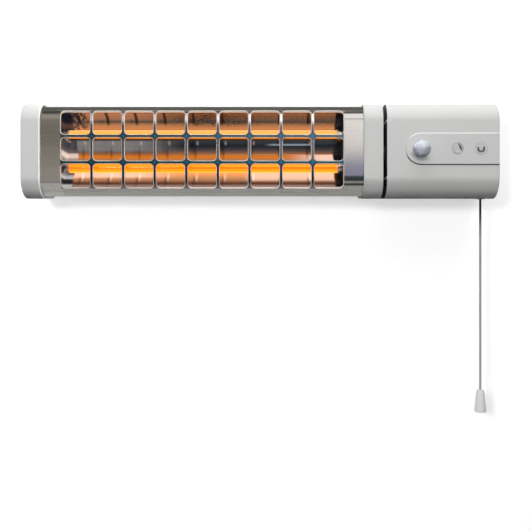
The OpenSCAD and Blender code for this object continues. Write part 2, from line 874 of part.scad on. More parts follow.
module pivot_bracket() {
    color(steel) difference() {
        union() {
            along_x(bracket_x, bracket_x + bracket_t) outline([
                [pivot_y, 0, bracket_half],
                [rear_y - bracket_bend, -bracket_root - bracket_bend, bracket_bend],
                [rear_y - bracket_bend, bracket_root + bracket_bend, bracket_bend]]);
            block([bracket_x, rear_y - bracket_t, -bracket_foot[1]],
                  [bracket_x + bracket_foot[0], rear_y, bracket_foot[1]]);
        }
        rod_x(bracket_bush_r + fit, bracket_x - cut, bracket_x + bracket_t + cut);
        rod_x(stop_r + fit, bracket_x - cut, bracket_x + bracket_t + cut, stop_y, stop_z);
        for (z = [-1, 1] * rail_screw_at[0][1])
            rod_y(rail_screw_r + seat, rear_y - bracket_t - cut, rear_y + cut, rail_screw_at[0][0], z);
    }
}

module bracket_bush() {
    color(nylon) difference() {
        union() {
            rod_x(bracket_bush_r, bracket_x - 0.8, bracket_x + bracket_t + 0.5);
            rod_x(bracket_bush_r + 2.5, bracket_x + bracket_t, bracket_x + bracket_t + bush_flange);
        }
        rod_x(pivot_r + fit, bracket_x - 3, bracket_x + bracket_t + 3);
    }
}

module hub_ring() {
    color(zinc) difference() {
        union() {
            rod_x(hub_r, head_x + 0.15, box_x);
            rod_x(pivot_r + 2.5, box_x - 0.5, box_x + box_wall);
        }
        rod_x(pivot_r + 0.2, head_x, box_x + box_wall + cut);
    }
}

module tilt_stop() {
    color(zinc) {
        rod_x(stop_r, head_x - cap_wall - 0.5, bracket_x + bracket_t + 0.5, stop_y, stop_z);
        rod_x(stop_r + 1.5, bracket_x + bracket_t, bracket_x + bracket_t + 1.5, stop_y, stop_z);
    }
}

// Leads from the right terminals through the pivot tube's side opening
module head_leads() {
    color(dark) for (s = [1, -1]) {
        z = tube_z - 0.6;
        swept([
            [lead_x1 + terminal_len + fit, tube_y, s * tube_z],
            [lead_x1 + terminal_len + 1.2, tube_y, s * tube_z],
            [lead_x1 + terminal_len + 2.6, tube_y, s * z],
            [plate_x1 + 9.6, tube_y + 0.3, s * (z - 3)], [plate_x1 + 9.9, tube_y + 1, s * 10],
            [plate_x1 + 10.3, pivot_y - 9.6, s * 4.4], [plate_x1 + 11.8, pivot_y - 6, s * 2],
            [plate_x1 + 14.8, pivot_y - 2.4, s * 1.6], [plate_x1 + 19, pivot_y - 0.4, s * 1.5],
            [plate_x1 + 24, pivot_y, s * 1.5], [pivot_end + 1.9, pivot_y, s * 1.5]
        ], lead_r, 8, [0.2, 1, s * 0.3]);
    }
}

// Wall rail: a shallow channel with a dimple down to the wall at each screw hole
module wall_rail() {
    color(steel) difference() {
        union() {
            along_x(rail_x0, rail_x1) difference() {
                translate([-rail_d, -rail_h / 2]) square([rail_d, rail_h]);
                translate([-rail_d + rail_t, -rail_h / 2 + rail_t])
                    square([rail_d, rail_h - 2 * rail_t]);
            }
            for (x = [-1, 1], z = [-1, 1])
                rod_y(dimple_r + rail_t, -rail_d, 0, x * holes_x / 2, z * holes_z / 2);
        }
        for (x = [-1, 1], z = [-1, 1]) {
            rod_y(dimple_r, -rail_d - cut, -rail_t, x * holes_x / 2, z * holes_z / 2);
            rod_y(hole_r, -rail_d, cut, x * holes_x / 2, z * holes_z / 2);
        }
        for (z = [-1, 1]) {
            rod_y(rivet_r + fit, -rail_d - cut, -rail_d + rail_t + cut, rivet_x, z * rivet_z);
            for (at = rail_screw_at)
                rod_y(rail_screw_r + fit, -rail_d - cut, -rail_d + rail_t + cut, at[0], z * at[1]);
        }
    }
}

// Height of the control box's upper side above the middle, at a depth y on its straight part
function box_half(y) =
    let (s = side_points(box_section, 0, 2))
    s[0][1] + (y - s[0][0]) / (s[1][0] - s[0][0]) * (s[1][1] - s[0][1]);

// The slice of a flat shape in [y, z] between two depths
module depth_slice(y0, y1) {
    intersection() {
        children();
        translate([y0, -body_h]) square([y1 - y0, 2 * body_h]);
    }
}

module box_blank(y0, y1) {
    intersection() {
        rounded_block(box_section, box_x, x_right, 0.8, rim_r);
        block([box_x - cut, y0, -body_h], [x_right + cut, y1, body_h]);
    }
}

module control_base() {
    inner_x0 = box_x + box_wall;
    inner_x1 = x_right - box_wall;
    color(warm_white) difference() {
        union() {
            difference() {
                box_blank(split_y, 0);
                along_x(inner_x0, inner_x1) depth_slice(split_y - cut, rear_y)
                    outline(box_section, box_wall);
                along_x(inner_x0, inner_x1) depth_slice(-rail_d, cut)
                    outline(box_section, box_wall);
            }
            // Screw tabs that reach forward inside the cover
            for (x = cover_screw_x) along_x(x - tab_half, x + tab_half) intersection() {
                difference() {
                    outline(box_section, box_wall + seat);
                    outline(box_section, box_wall + seat + tab_t);
                }
                translate([split_y - tab_d, -body_h]) square([2 * tab_d, body_h]);
            }
            for (x = cover_screw_x) along_x(x - tab_half, x + tab_half) intersection() {
                difference() {
                    outline(box_section, box_wall - bite);
                    outline(box_section, box_wall + seat + tab_t);
                }
                translate([split_y + gap, -body_h]) square([tab_d, body_h]);
            }
            // Pad under the pull switch
            along_x(lever_x - 22, lever_x - 7) intersection() {
                outline(box_section, box_wall - bite);
                translate([cord_y - 6, -body_h]) square([12, body_h + lever_z - switch_drop]);
            }
        }
        block([box_x - cut, -rail_d - seat, -rail_h / 2 - gap], [inner_x0 + cut, cut, rail_h / 2 + gap]);
        rod_x(pivot_hole_r, box_x - cut, inner_x0 + cut);
        rod_x(stop_r + seat, box_x - cut, inner_x0 + cut, stop_y, stop_z);
        rod_z(guide_r + seat, -body_h, -box_half(cord_y) + box_wall + 4, cord_x, cord_y);
        rod_z(guide_flange_r + seat, -body_h, guide_face + guide_flange_t + seat, cord_x, cord_y);
        rod_y(cable_r + 2 + seat, rear_y - cut, -rail_d + cut, grommet_x, grommet_z);
        for (z = [-1, 1], at = rail_screw_at)
            rod_y(rail_screw_r + seat, rear_y - cut, -rail_d + cut, at[0], z * at[1]);
        for (x = cover_screw_x) rod_z(cover_screw_r + seat, -body_h, 0, x, cover_screw_y);
    }
}

module control_cover() {
    inner_x0 = box_x + box_wall;
    inner_x1 = x_right - box_wall;
    color(warm_white) difference() {
        union() {
            difference() {
                box_blank(-body_d - cut, split_y);
                along_x(inner_x0, inner_x1) depth_slice(-body_d, split_y + cut)
                    outline(box_section, box_wall);
            }
            for (p = board_posts) rod_y(3.2, -body_d + box_wall - bite, board_y, p[0], p[1]);
        }
        along_y(-body_d - cut, panel_back) panel_shape(seat, cut);
        rod_y(lens_r + 0.4, -body_d - cut, -body_d + 5, lens_x, 0);
        for (x = [light_x, time_x]) rod_y(shaft_r + fit, -body_d - cut, -body_d + 5, x, 0);
        for (p = board_posts)
            rod_y(board_screw_r + fit, board_y - board_screw_len - 2, board_y + cut, p[0], p[1]);
        rod_x(pivot_hole_r, box_x - cut, inner_x0 + cut);
        for (x = cover_screw_x) {
            rod_z(cover_screw_r + bite, -body_h, 0, x, cover_screw_y);
            rod_z(cover_screw_head_r + gap, -body_h, -box_half(cover_screw_y) + cover_recess, x,
                cover_screw_y);
        }
    }
}

module cover_screws() {
    top = -box_half(cover_screw_y) + cover_recess;
    color(zinc) for (x = cover_screw_x) {
        rod_z(cover_screw_head_r, top - cover_recess + seat, top, x, cover_screw_y);
        rod_z(cover_screw_r, top - 0.5, top + box_wall + tab_t + 1.5, x, cover_screw_y);
    }
}

module rail_screws() {
    color(zinc) for (z = [-1, 1], i = [0, 1]) {
        at = rail_screw_at[i];
        head_y = rear_y - (i == 0 ? bracket_t : 0);
        rod_y(rail_screw_r + 1.8, head_y - 2, head_y, at[0], z * at[1]);
        rod_y(rail_screw_r, head_y - 1, -rail_d + rail_t + 2, at[0], z * at[1]);
    }
}

// The sensor panel's outline in [x, z], with its round end about the lens
module panel_shape(grow, past) {
    r = panel_r + grow;
    translate([lens_x, 0]) circle(r);
    translate([lens_x, -r]) square([x_right - 0.5 + past - lens_x, 2 * r]);
}

module sensor_panel() {
    color(warm_white) difference() {
        along_y(panel_y, panel_back) panel_shape(0, 0);
        rod_y(lens_r + seat, panel_y - cut, panel_back + cut, lens_x, 0);
        rod_y(lens_flange_r + seat, panel_back - lens_flange_t - seat, panel_back + cut, lens_x, 0);
        for (x = [light_x, time_x]) rod_y(knob_r + bite, panel_y - cut, panel_back + cut, x, 0);
    }
}

module sensor_lens() {
    color([0.78, 0.78, 0.86]) translate([lens_x, panel_back, 0]) rotate([90, 0, 0])
        rotate_extrude() difference() {
            union() {
                square([lens_flange_r, lens_flange_t]);
                square([lens_r, panel_t + lens_collar]);
                intersection() {
                    translate([0, panel_t + lens_collar]) circle(lens_r);
                    square([2 * lens_r, 3 * lens_r]);
                }
            }
            translate([0, -cut]) square([lens_r - lens_wall, panel_t + lens_collar + cut]);
            translate([0, panel_t + lens_collar]) circle(lens_r - lens_wall);
        }
}

// A flush adjuster: a disc with a finger slot on a shaft
module adjuster(x) {
    face = panel_y - knob_proud;
    color([0.8, 0.8, 0.8]) difference() {
        union() {
            rod_y(knob_r, face, face + knob_t, x, 0);
            rod_y(shaft_r, face + knob_t - bite, shaft_end, x, 0);
        }
        block([x - knob_r + 1.4, face - cut, -slot_w / 2], [x + knob_r - 1.4, face + slot_d, slot_w / 2]);
    }
}
module light_adjuster() { adjuster(light_x); }
module time_adjuster() { adjuster(time_x); }

module potentiometers() {
    color(dark) for (x = [light_x, time_x]) difference() {
        block([x - pot_h, board_y - pot_h, -pot_h], [x + pot_h, board_y, pot_h]);
        rod_y(shaft_r + seat, board_y - pot_h - cut, shaft_end + gap, x, 0);
    }
}

module circuit_board() {
    color([0.15, 0.4, 0.22]) difference() {
        block([board_x0, board_y, -board_half], [board_x1, board_back, board_half]);
        for (p = board_posts)
            rod_y(board_screw_r + 0.5, board_y - cut, board_back + cut, p[0], p[1]);
    }
}

module board_screws() {
    color(zinc) for (p = board_posts) {
        rod_y(board_screw_r + 1.5, board_back, board_back + 1.4, p[0], p[1]);
        rod_y(board_screw_r, board_y - board_screw_len, board_back + 1, p[0], p[1]);
    }
}

module pir_element() {
    color(brass) {
        rod_y(4.1, board_y - 4.4, board_y, lens_x, 0);
        rod_y(4.6, board_y - 0.6, board_y, lens_x, 0);
    }
}

module relay() {
    color([0.2, 0.3, 0.6]) block([board_x0 + 38, board_back, 3], [board_x0 + 57, board_back + 15, 19]);
}

module transformer() {
    x = board_x0 + 66;
    color(dark) difference() {
        block([x, board_back, -12], [x + 26, board_back + 19, 12]);
        for (s = [-1, 1]) block([x - cut, board_back + 15, s * 10 - 3],
                                [x + 26 + cut, board_back + 19 + cut, s * 10 + 3]);
    }
}

module capacitor() {
    color([0.2, 0.2, 0.4]) {
        rod_y(5, board_back, board_back + 14, board_x0 + 22, -12);
        rod_y(5.3, board_back + 1, board_back + 12, board_x0 + 22, -12);
    }
}

module terminal_block() {
    color(nylon) difference() {
        union() {
            block([terminal_x, rear_y - terminal_d, terminal_z],
                  [terminal_x + 3 * terminal_pitch, rear_y, terminal_z + terminal_h]);
            for (x = [0, 1, 2] * terminal_pitch)
                block([terminal_x + x + 1, rear_y - terminal_d - terminal_tower, terminal_z + 1],
                      [terminal_x + x + terminal_pitch - 1, rear_y - terminal_d + bite,
                       terminal_z + terminal_h - 1]);
        }
        for (at = terminal_screws) {
            rod_y(tunnel_r, rear_y - terminal_d - terminal_tower - cut, terminal_y, at[0], at[1]);
            rod_y(tunnel_r - 0.6, terminal_y - cut, terminal_y + 2 + seat, at[0], at[1]);
        }
    }
}

// Its path is given as shares of the way from the pivot tube to the terminal block
module box_lead() {
    start = [pivot_end + 2.2, pivot_y, 0];
    tip = [terminal_screws[1][0], rear_y - terminal_d - terminal_tower - gap,
           terminal_z + terminal_h / 2];
    color(dark) swept([for (p = lead_path) [for (i = [0:2]) start[i] + p[i] * (tip[i] - start[i])]],
        box_lead_r, 8, [0, 0, 1]);
}

module cable_grommet() {
    color(dark) translate([grommet_x, rear_y, grommet_z]) rotate([-90, 0, 0]) rotate_extrude()
        difference() {
            union() {
                translate([0, -2]) square([grommet_r, 2 - fit]);
                translate([0, -seat]) square([cable_r + 2, box_wall + 2 * seat]);
                translate([0, box_wall + fit]) square([grommet_r - 0.5, 1.5]);
            }
            translate([0, -4]) square([cable_r, box_wall + 8]);
        }
}

// The clamp's saddle and the bar over it, which two screws draw together on the cable
module cable_clamp() {
    color(nylon) difference() {
        union() {
            for (y = [[clamp_top, rear_y], [bar_top, bar_top + clamp_bar_t]])
                block([clamp_x - clamp_half, y[0], grommet_z - clamp_h / 2],
                      [clamp_x + clamp_half, y[1], grommet_z + clamp_h / 2]);
        }
        rod_x(cable_r - 0.7, clamp_x - clamp_half - cut, clamp_x + clamp_half + cut,
            (clamp_top + bar_top + clamp_bar_t) / 2, grommet_z);
        for (s = [-1, 1])
            rod_y(supply_screw_r + seat, bar_top - cut, rear_y - 1, clamp_x + s * clamp_screw_at,
                grommet_z);
    }
}

module supply_screws() {
    color(zinc) for (s = [-1, 1]) {
        rod_y(supply_screw_r, bar_top - 1, rear_y - 1 - gap, clamp_x + s * clamp_screw_at, grommet_z);
        rod_y(supply_screw_r + 1.3, bar_top - 2, bar_top - fit, clamp_x + s * clamp_screw_at,
            grommet_z);
    }
    color(zinc) for (at = terminal_screws) {
        rod_y(tunnel_r - gap, terminal_y - 2.5, terminal_y - fit, at[0], at[1]);
        rod_y(tunnel_r - 0.7, terminal_y - 1, terminal_y + 2, at[0], at[1]);
    }
}

// Pull switch: a closed body with two ears that hold the lever's pin
module pull_switch() {
    color(nylon) difference() {
        union() {
            block([lever_x - 24, cord_y - 8, lever_z - switch_drop], [lever_x - 5, cord_y + 8, lever_z + 12]);
            for (s = [-1, 1]) translate([0, cord_y + s * (lever_w / 2 + gap + ear_t / 2), 0])
                block([lever_x - 6, -ear_t / 2, lever_z - 4.5], [lever_x + 4, ear_t / 2, lever_z + 4.5]);
        }
        rod_y(lever_pin_r + fit, cord_y - 12, cord_y + 12, lever_x, lever_z);
    }
}

module lever_pin() {
    color(zinc) {
        outer = lever_w / 2 + gap + ear_t + fit;
        rod_y(lever_pin_r, cord_y - outer - 1, cord_y + outer + 1, lever_x, lever_z);
        rod_y(lever_pin_r + 1.1, cord_y - outer - 1.6, cord_y - outer, lever_x, lever_z);
    }
}

// The forked lever, drawn at rest with its fork raised
module switch_lever() {
    color([0.75, 0.2, 0.15]) translate([lever_x, cord_y, lever_z]) rotate([0, -lever_swing, 0])
        difference() {
            union() {
                rotate([90, 0, 0]) cylinder(h = lever_w, r = lever_hub_r, center = true);
                translate([0, -lever_w / 2, -lever_t / 2]) cube([lever_len + 4.4, lever_w, lever_t]);
            }
            rotate([90, 0, 0]) cylinder(h = 3 * lever_w, r = lever_pin_r + fit, center = true);
            translate([lever_len - cord_r - 0.6, -lever_slot / 2, -lever_t])
                cube([10, lever_slot, 2 * lever_t]);
        }
}

module cord_guide() {
    color(dark) difference() {
        union() {
            rod_z(guide_flange_r, guide_face, guide_face + guide_flange_t, cord_x, cord_y);
            rod_z(guide_r, guide_face + 0.5, -box_half(cord_y) + box_wall + 2, cord_x, cord_y);
        }
        rod_z(cord_r + 0.5, -body_h, 0, cord_x, cord_y);
    }
}

module cord_knot() {
    color([0.8, 0.8, 0.8]) intersection() {
        translate([cord_x, cord_y, knot_z]) sphere(knot_r);
        rod_z(knot_r + cut, knot_z - knot_flat, knot_z + knot_r + cut, cord_x, cord_y);
    }
}

module pull_cord() {
    length = norm(cord_route[1] - cord_route[0]);
    rings = ceil(length / (3 * cord_d));
    color([0.8, 0.8, 0.8]) swept(
        [for (i = [0:rings]) cord_route[0] + (cord_route[1] - cord_route[0]) * i / rings],
        cord_r, 8, [0, 1, 0]);
}

module cord_bell() {
    top_r = cord_r + 3;
    foot_r = bell_d / 2;
    color([0.82, 0.82, 0.82]) translate([cord_x, cord_y, -bell_drop - bell_h]) rotate_extrude()
        polygon(concat([[0, 0]], arc(foot_r - 1.6, 1.6, 1.6, -90, 5, 6),
                       arc(top_r - 1, bell_h - 1, 1, 5, 90, 5), [[0, bell_h]]));
}

left_end_cap();
right_end_cap();
front_grille();
rear_housing();
left_end_plate();
right_end_plate();
reflector();
left_cheek();
right_cheek();
upper_quartz_tube();
lower_quartz_tube();
upper_coil();
lower_coil();
ceramic_caps();
tube_terminals();
link_strap();
thermal_cutout();
cap_screws();
left_pivot_bush();
pivot_tube();
flange_screws();
friction_washer();
pivot_nut();
head_leads();
wall_rail();
pivot_arm();
arm_rivets();
pivot_pin();
pin_clip();
pivot_bracket();
bracket_bush();
hub_ring();
tilt_stop();
control_base();
control_cover();
cover_screws();
rail_screws();
sensor_panel();
sensor_lens();
light_adjuster();
time_adjuster();
circuit_board();
board_screws();
pir_element();
potentiometers();
relay();
transformer();
capacitor();
terminal_block();
box_lead();
cable_grommet();
cable_clamp();
supply_screws();
pull_switch();
switch_lever();
lever_pin();
cord_guide();
cord_knot();
pull_cord();
cord_bell();
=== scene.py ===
# %% [markdown]
# # Dressing an infrared heater
# The imported CAD model is a fixed frame: every solid is already in place, in metres, with the wall
# at y = 0 and +Z up. This lesson loads it, and then makes each visible surface of the heater as a
# finer mesh or gives the CAD solid a better material.

# %% Load the imported model
import json
import math

import bmesh
import bpy
import numpy as np
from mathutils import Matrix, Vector
from numpy import cos, pi, sin

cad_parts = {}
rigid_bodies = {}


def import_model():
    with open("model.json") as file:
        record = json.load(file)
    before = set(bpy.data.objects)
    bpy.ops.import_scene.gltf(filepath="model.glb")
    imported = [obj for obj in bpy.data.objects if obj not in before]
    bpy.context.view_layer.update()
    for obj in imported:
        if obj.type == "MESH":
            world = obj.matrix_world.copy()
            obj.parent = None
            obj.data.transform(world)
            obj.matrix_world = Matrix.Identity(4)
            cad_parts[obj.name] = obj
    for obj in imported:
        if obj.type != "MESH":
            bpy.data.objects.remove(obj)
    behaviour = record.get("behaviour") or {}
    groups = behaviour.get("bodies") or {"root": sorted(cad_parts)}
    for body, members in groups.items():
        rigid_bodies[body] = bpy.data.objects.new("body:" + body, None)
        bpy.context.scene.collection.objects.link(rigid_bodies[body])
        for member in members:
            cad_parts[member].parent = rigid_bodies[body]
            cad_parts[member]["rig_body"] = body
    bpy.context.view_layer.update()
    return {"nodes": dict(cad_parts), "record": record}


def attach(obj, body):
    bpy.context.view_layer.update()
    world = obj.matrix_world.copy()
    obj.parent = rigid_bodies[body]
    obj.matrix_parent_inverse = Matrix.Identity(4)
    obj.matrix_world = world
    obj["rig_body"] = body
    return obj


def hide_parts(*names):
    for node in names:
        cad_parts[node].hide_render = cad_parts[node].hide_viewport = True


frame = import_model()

MM = 0.001

# %% [markdown]
# ## The camera
# The photograph was taken from in front and a little below, so the camera stands 0.92 m before
# the heater, lower than its middle, and looks straight at the wall. A level camera keeps the
# upright edges upright.

# %% Camera
CAMERA_PLACE = (0.00625, -1.03, -0.1454)
camera_data = bpy.data.cameras.new("photo_camera")
camera_data.lens, camera_data.sensor_width, camera_data.clip_start = 50, 36, 0.01
camera = bpy.data.objects.new("photo_camera", camera_data)
camera.location = CAMERA_PLACE
camera.rotation_euler = (math.radians(90), 0, 0)
bpy.context.collection.objects.link(camera)
bpy.context.scene.camera = camera
print("camera at", CAMERA_PLACE)

# %% [markdown]
# ## Shader expressions
# A material is a small graph of nodes. Wiring sockets by hand hides the idea, so this class wraps
# one socket: arithmetic on it adds Math nodes for numbers and Vector Math nodes for vectors, and
# `node` adds any other kind. Colours are given in percent, and a single number is a grey.

# %% The socket class
class Shade:
    """A node's output socket in the graph of a material or world, its home, for expressions."""

    def __init__(self, home, socket=None):
        self.home = home
        self.socket = socket

    def node(self, kind, settings=None, sockets=None, out=0):
        """Adds a node of a kind with its settings, then fills or links its sockets."""
        tree = self.home.node_tree
        made = tree.nodes.new("ShaderNode" + kind)
        for name, value in (settings or {}).items():
            if name == "stops":
                ramp = made.color_ramp
                while len(ramp.elements) < len(value):
                    ramp.elements.new(1.0)
                for element, (at, *colour) in zip(ramp.elements, value):
                    element.position, element.color = at / 100, rgba(colour)
            else:
                setattr(made, name, value)
        for name, value in (sockets or {}).items():
            if isinstance(value, Shade):
                tree.links.new(value.socket, made.inputs[name])
            else:
                made.inputs[name].default_value = value
        return Shade(self.home, made.outputs[out] if len(made.outputs) else None)

    def _do(self, operation, other, swapped=False):
        a, b = (other, self) if swapped else (self, other)
        if self.socket.type == "VECTOR":
            a, b = (v if isinstance(v, (Shade, tuple)) else (v, v, v) for v in (a, b))
            return self.node("VectorMath", {"operation": operation}, {0: a, 1: b})
        return self.node("Math", {"operation": operation}, {0: a, 1: b})

    def __add__(self, other): return self._do("ADD", other)
    def __radd__(self, other): return self._do("ADD", other, True)
    def __sub__(self, other): return self._do("SUBTRACT", other)
    def __rsub__(self, other): return self._do("SUBTRACT", other, True)
    def __mul__(self, other): return self._do("MULTIPLY", other)
    def __rmul__(self, other): return self._do("MULTIPLY", other, True)
    def __truediv__(self, other): return self._do("DIVIDE", other)
    def __rtruediv__(self, other): return self._do("DIVIDE", other, True)


def axis(vector, name):
    """One component of a vector socket."""
    return vector.node("SeparateXYZ", sockets={0: vector}, out=name)


def in_mm(place):
    """A place's distances along the heater, out of the wall and up, in millimetres."""
    return [axis(place, name) * 1000 for name in "XYZ"]


def rise(value, low, high):
    """0 at low, 1 at high, and a smooth step between."""
    return value.node("MapRange", {"interpolation_type": "SMOOTHSTEP"},
                      {"Value": value, "From Min": low, "From Max": high})


def band(value, low, high, soft):
    """1 between low and high, fading to 0 over a soft distance on both sides."""
    return rise(value, low - soft, low + soft) * (1 - rise(value, high - soft, high + soft))


def calc(operation, first, *others):
    """A Math node with any operation."""
    return first.node("Math", {"operation": operation}, dict(enumerate((first, *others))))


def rgba(colour):
    """A colour or a grey in percent as Blender's four numbers up to 1."""
    return (*np.broadcast_to(np.array(colour) / 100, 3), 1.0)


def ramp(value, *stops):
    """A colour ramp over a value from 0 to 1: a stop is its place and colour in percent."""
    return value.node("ValToRGB", {"stops": stops}, {"Fac": value}, out="Color")


def blend(factor, a, b):
    """Colour a where factor is 0 and colour b where it is 1."""
    a, b = (v if isinstance(v, Shade) else rgba(v) for v in (a, b))
    return factor.node("Mix", {"data_type": "RGBA"}, {0: factor, 6: a, 7: b}, out=2)


def layers(tone, *coats):
    """Colours laid over a tone one after another, each given as (factor, colour)."""
    for factor, colour in coats:
        tone = blend(factor, tone, colour)
    return tone


def noise(place, scale, detail=3.0, stretch=(1, 1, 1)):
    """Cloudy noise from 0 to 1, on coordinates stretched along the axes."""
    return place.node("TexNoise", sockets={
        "Vector": place * stretch, "Scale": scale, "Detail": detail}, out="Fac")


def bump(height, strength, distance):
    """A normal tilted as if the surface rose with height."""
    return height.node("Bump", sockets={
        "Strength": strength, "Distance": distance, "Height": height}, out="Normal")


def coordinates(home, kind):
    """The coordinates that a new material's or world's graph starts with."""
    home.use_nodes = True
    home.node_tree.nodes.clear()
    return Shade(home).node("TexCoord", out=kind)


def new_material(name):
    """A new material's Object coordinates, to draw its patterns on."""
    return coordinates(bpy.data.materials.new(name), "Object")


def finished(place, shader):
    """The material, once this shader goes to its output."""
    place.node("OutputMaterial", sockets={"Surface": shader})
    return place.home


def surface(place, tone, rough, normal=None, **others):
    """Ends a material in a Principled shader with these and other sockets filled."""
    named = {key.replace("_", " ").title().replace("Ior", "IOR"): value
             for key, value in others.items()}
    if normal is not None:
        named["Normal"] = normal
    return finished(place, place.node("BsdfPrincipled", sockets={
        "Base Color": tone, "Roughness": rough, **named}))


print("shader helpers ready")

# %% [markdown]
# ## Mesh helpers
# A surface here is a grid of points worked out at once with numpy. A grid of rows and columns
# becomes quads by joining each point to its neighbours, and several grids become one piece once
# their shared edge points are merged.

# %% Grids into pieces
def stacked(*parts):
    """Coordinates, stretched to one another's shape, as the last axis of one array."""
    return np.stack(np.broadcast_arrays(*parts), axis=-1)


def circle(count):
    """Angles evenly round a circle."""
    return np.linspace(0, 2 * pi, count, endpoint=False)


def unit(rows):
    """Vectors scaled to length 1."""
    return rows / np.linalg.norm(rows, axis=-1, keepdims=True)


def grid(points, wrap=False):
    """A (rows, columns, 3) array as (points, quads): each quad takes two neighbours in a row
    and the two below them, and wrap joins the last column to the first."""
    number = np.arange(points[..., 0].size).reshape(points.shape[:2])
    if wrap:
        number = np.append(number, number[:, :1], axis=1)
    faces = stacked(number[:-1, :-1], number[:-1, 1:], number[1:, 1:], number[1:, :-1])
    return points.reshape(-1, 3), faces.reshape(-1, 4)


def settle(mesh, merge, angle, outward=True):
    """Merges doubles, drops flat faces, turns all outwards and marks edges sharper than angle."""
    form = bmesh.new()
    form.from_mesh(mesh)
    bmesh.ops.remove_doubles(form, verts=form.verts, dist=merge)
    bmesh.ops.dissolve_degenerate(form, edges=form.edges, dist=merge)
    if outward:
        bmesh.ops.recalc_face_normals(form, faces=form.faces)
    for face in form.faces:
        face.smooth = True
    for edge in form.edges:
        edge.smooth = edge.is_manifold and edge.calc_face_angle(0.0) < math.radians(angle)
    form.to_mesh(mesh)
    form.free()


def vertices(mesh):
    """The places of a mesh's vertices, one in each row."""
    flat = np.empty(len(mesh.vertices) * 3)
    mesh.vertices.foreach_get("co", flat)
    return flat.reshape(-1, 3)


def place_piece(name, mesh, body, finish, nodes):
    """Adds the piece's object at the origin, with its material, body, slot and CAD nodes."""
    made = bpy.data.objects.new(name, mesh)
    bpy.context.collection.objects.link(made)
    mesh.materials.clear()
    mesh.materials.append(finish)
    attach(made, body)
    if nodes:
        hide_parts(*nodes)
    return made


def piece(name, parts, body, finish, nodes=(), angle=40, merge=1e-6):
    """Builds a piece from (points, quads) in metres, the quads renumbered to follow on."""
    starts = np.cumsum([0] + [len(points) for points, _ in parts])
    points = np.concatenate([points for points, _ in parts])
    faces = np.concatenate([faces + start for (_, faces), start in zip(parts, starts)])
    mesh = bpy.data.meshes.new(name)
    mesh.from_pydata(points.tolist(), [], faces.tolist())
    settle(mesh, merge, angle)
    made = place_piece(name, mesh, body, finish, nodes)
    print(name, len(mesh.polygons), "faces")
    return made


def lathe(profile, centre, way="z", around=64):
    """A profile of (radius, height) rows turned about an axis: x = r cos a, y = r sin a, z = h."""
    profile = np.asarray(profile, float)
    turn, r, h = circle(around), profile[:, :1], profile[:, 1:]
    order = {"z": (0, 1, 2), "y": (0, 2, 1), "x": (2, 0, 1)}[way]
    points = stacked(r * cos(turn), r * sin(turn), h)[..., order]
    return grid(points + centre, wrap=True)


def rounded(corners, radius, steps=4):
    """A profile whose inner corners are rounded: each becomes a short curve between points that
    lie radius before and after it, (1 - t)^2 a + 2 t (1 - t) corner + t^2 b."""
    corners = np.asarray(corners, float)
    t = np.linspace(0, 1, steps + 1)[:, None]
    out = [corners[:1]]
    for before, here, after in zip(corners[:-2], corners[1:-1], corners[2:]):
        a, b = (here + unit(p - here) * min(radius, np.linalg.norm(p - here) / 2)
                for p in (before, after))
        out.append((1 - t) ** 2 * a + 2 * t * (1 - t) * here + t ** 2 * b)
    return np.concatenate(out + [corners[-1:]])


print("mesh helpers ready")

# %% [markdown]
# ## The heater's own numbers
# These repeat the CAD source, in millimetres: the places along the heater and the two
# cross-sections. Nothing here is fitted by eye, so every new surface lands on its solid.

# %% Numbers from the CAD source
SHEET_X = (-282.5, 137.25)
CHEEK_X = (-252.4, 107.15)
COLUMNS, PITCH, BAR, END_EXTRA = 9, 39.64, 4.2, 1.0
WINDOW_X = (-249.9, 104.65)
ROWS = ((-48.5, -18.6), (-14.4, 14.4), (18.6, 48.5))
CORNER = 4.5
ARC_Y, ARC_Z = -85.0, 35.5
TUBE_Y, TUBE_Z = -85.0, 20.8
LENS_X, LIGHT_X, TIME_X = 201.8, 246.5, 276.2
CORD_X, CORD_Y = 289.0, -63.0
CORD_TOP, BELL_TOP, BELL_H, CORD_R = -25.02, -309.0, 29.4, 1.5
print("windows:", COLUMNS * len(ROWS))

# %% [markdown]
# ## The pull cord
# The cord is a braided nylon line, 3 mm thick, that runs from its knot on the switch lever
# straight down to the bell. Sixteen strands cross over and under each other. The tube is a grid
# round the path, and two families of helices raise its radius where a strand runs on top. A
# painted shadow turns it nearly black where it leaves the box.

# %% Cord material
def cord_finish():
    """Two greys of one fibre noise, checked by the strands, and a painted shadow that turns it
    nearly black where it leaves the box.
    """
    place = new_material("cord_braid")
    up = in_mm(place)[2]
    uv = place.node("TexCoord", out="UV")
    strand = place.node("TexChecker", sockets={"Vector": uv * (16, 190, 1), "Scale": 1},
                        out="Fac")
    fibre = noise(uv, 2, stretch=(60, 900, 1))
    pale = blend(fibre, (36, 36, 37), 60)
    # dark is the braid in the box's painted shadow; shade is the braid's own checked greys
    dark = blend(strand, (1.2, 1.2, 1.4), (3.5, 3.5, 4))
    shade = blend(strand * 0.35, pale, (28, 28, 29))
    # painted shadow under the box: nearly black down to 74 mm below the middle, gone by 112 mm
    return surface(place, blend(rise(up, -112, -74), shade, dark), 0.65 + fibre * 0.2,
                   bump(fibre, 0.3, 0.0002))


CORD_BRAID = cord_finish()
print(CORD_BRAID.name)

# %% Cord, knot and bell
def braid_tube(x, y, z0, z1, radius, around=32, step=0.6, lay=12.0):
    """A vertical tube whose radius is r (0.93 + 0.07 |sin 4(a + kz)|) or the same with a - kz,
    whichever is larger, so the strands rise over each other in two crossing families. A strand
    goes once round in the lay, so k = 2 pi / lay."""
    z = np.linspace(z0, z1, int(abs(z1 - z0) / step) + 1)[:, None]
    a, turn = circle(around), 2 * pi / lay
    lift = np.maximum(np.abs(sin(4 * (a + turn * z))), np.abs(sin(4 * (a - turn * z))))
    r = radius * (0.93 + 0.07 * lift)
    return stacked(x + r * cos(a), y + r * sin(a), z) * MM


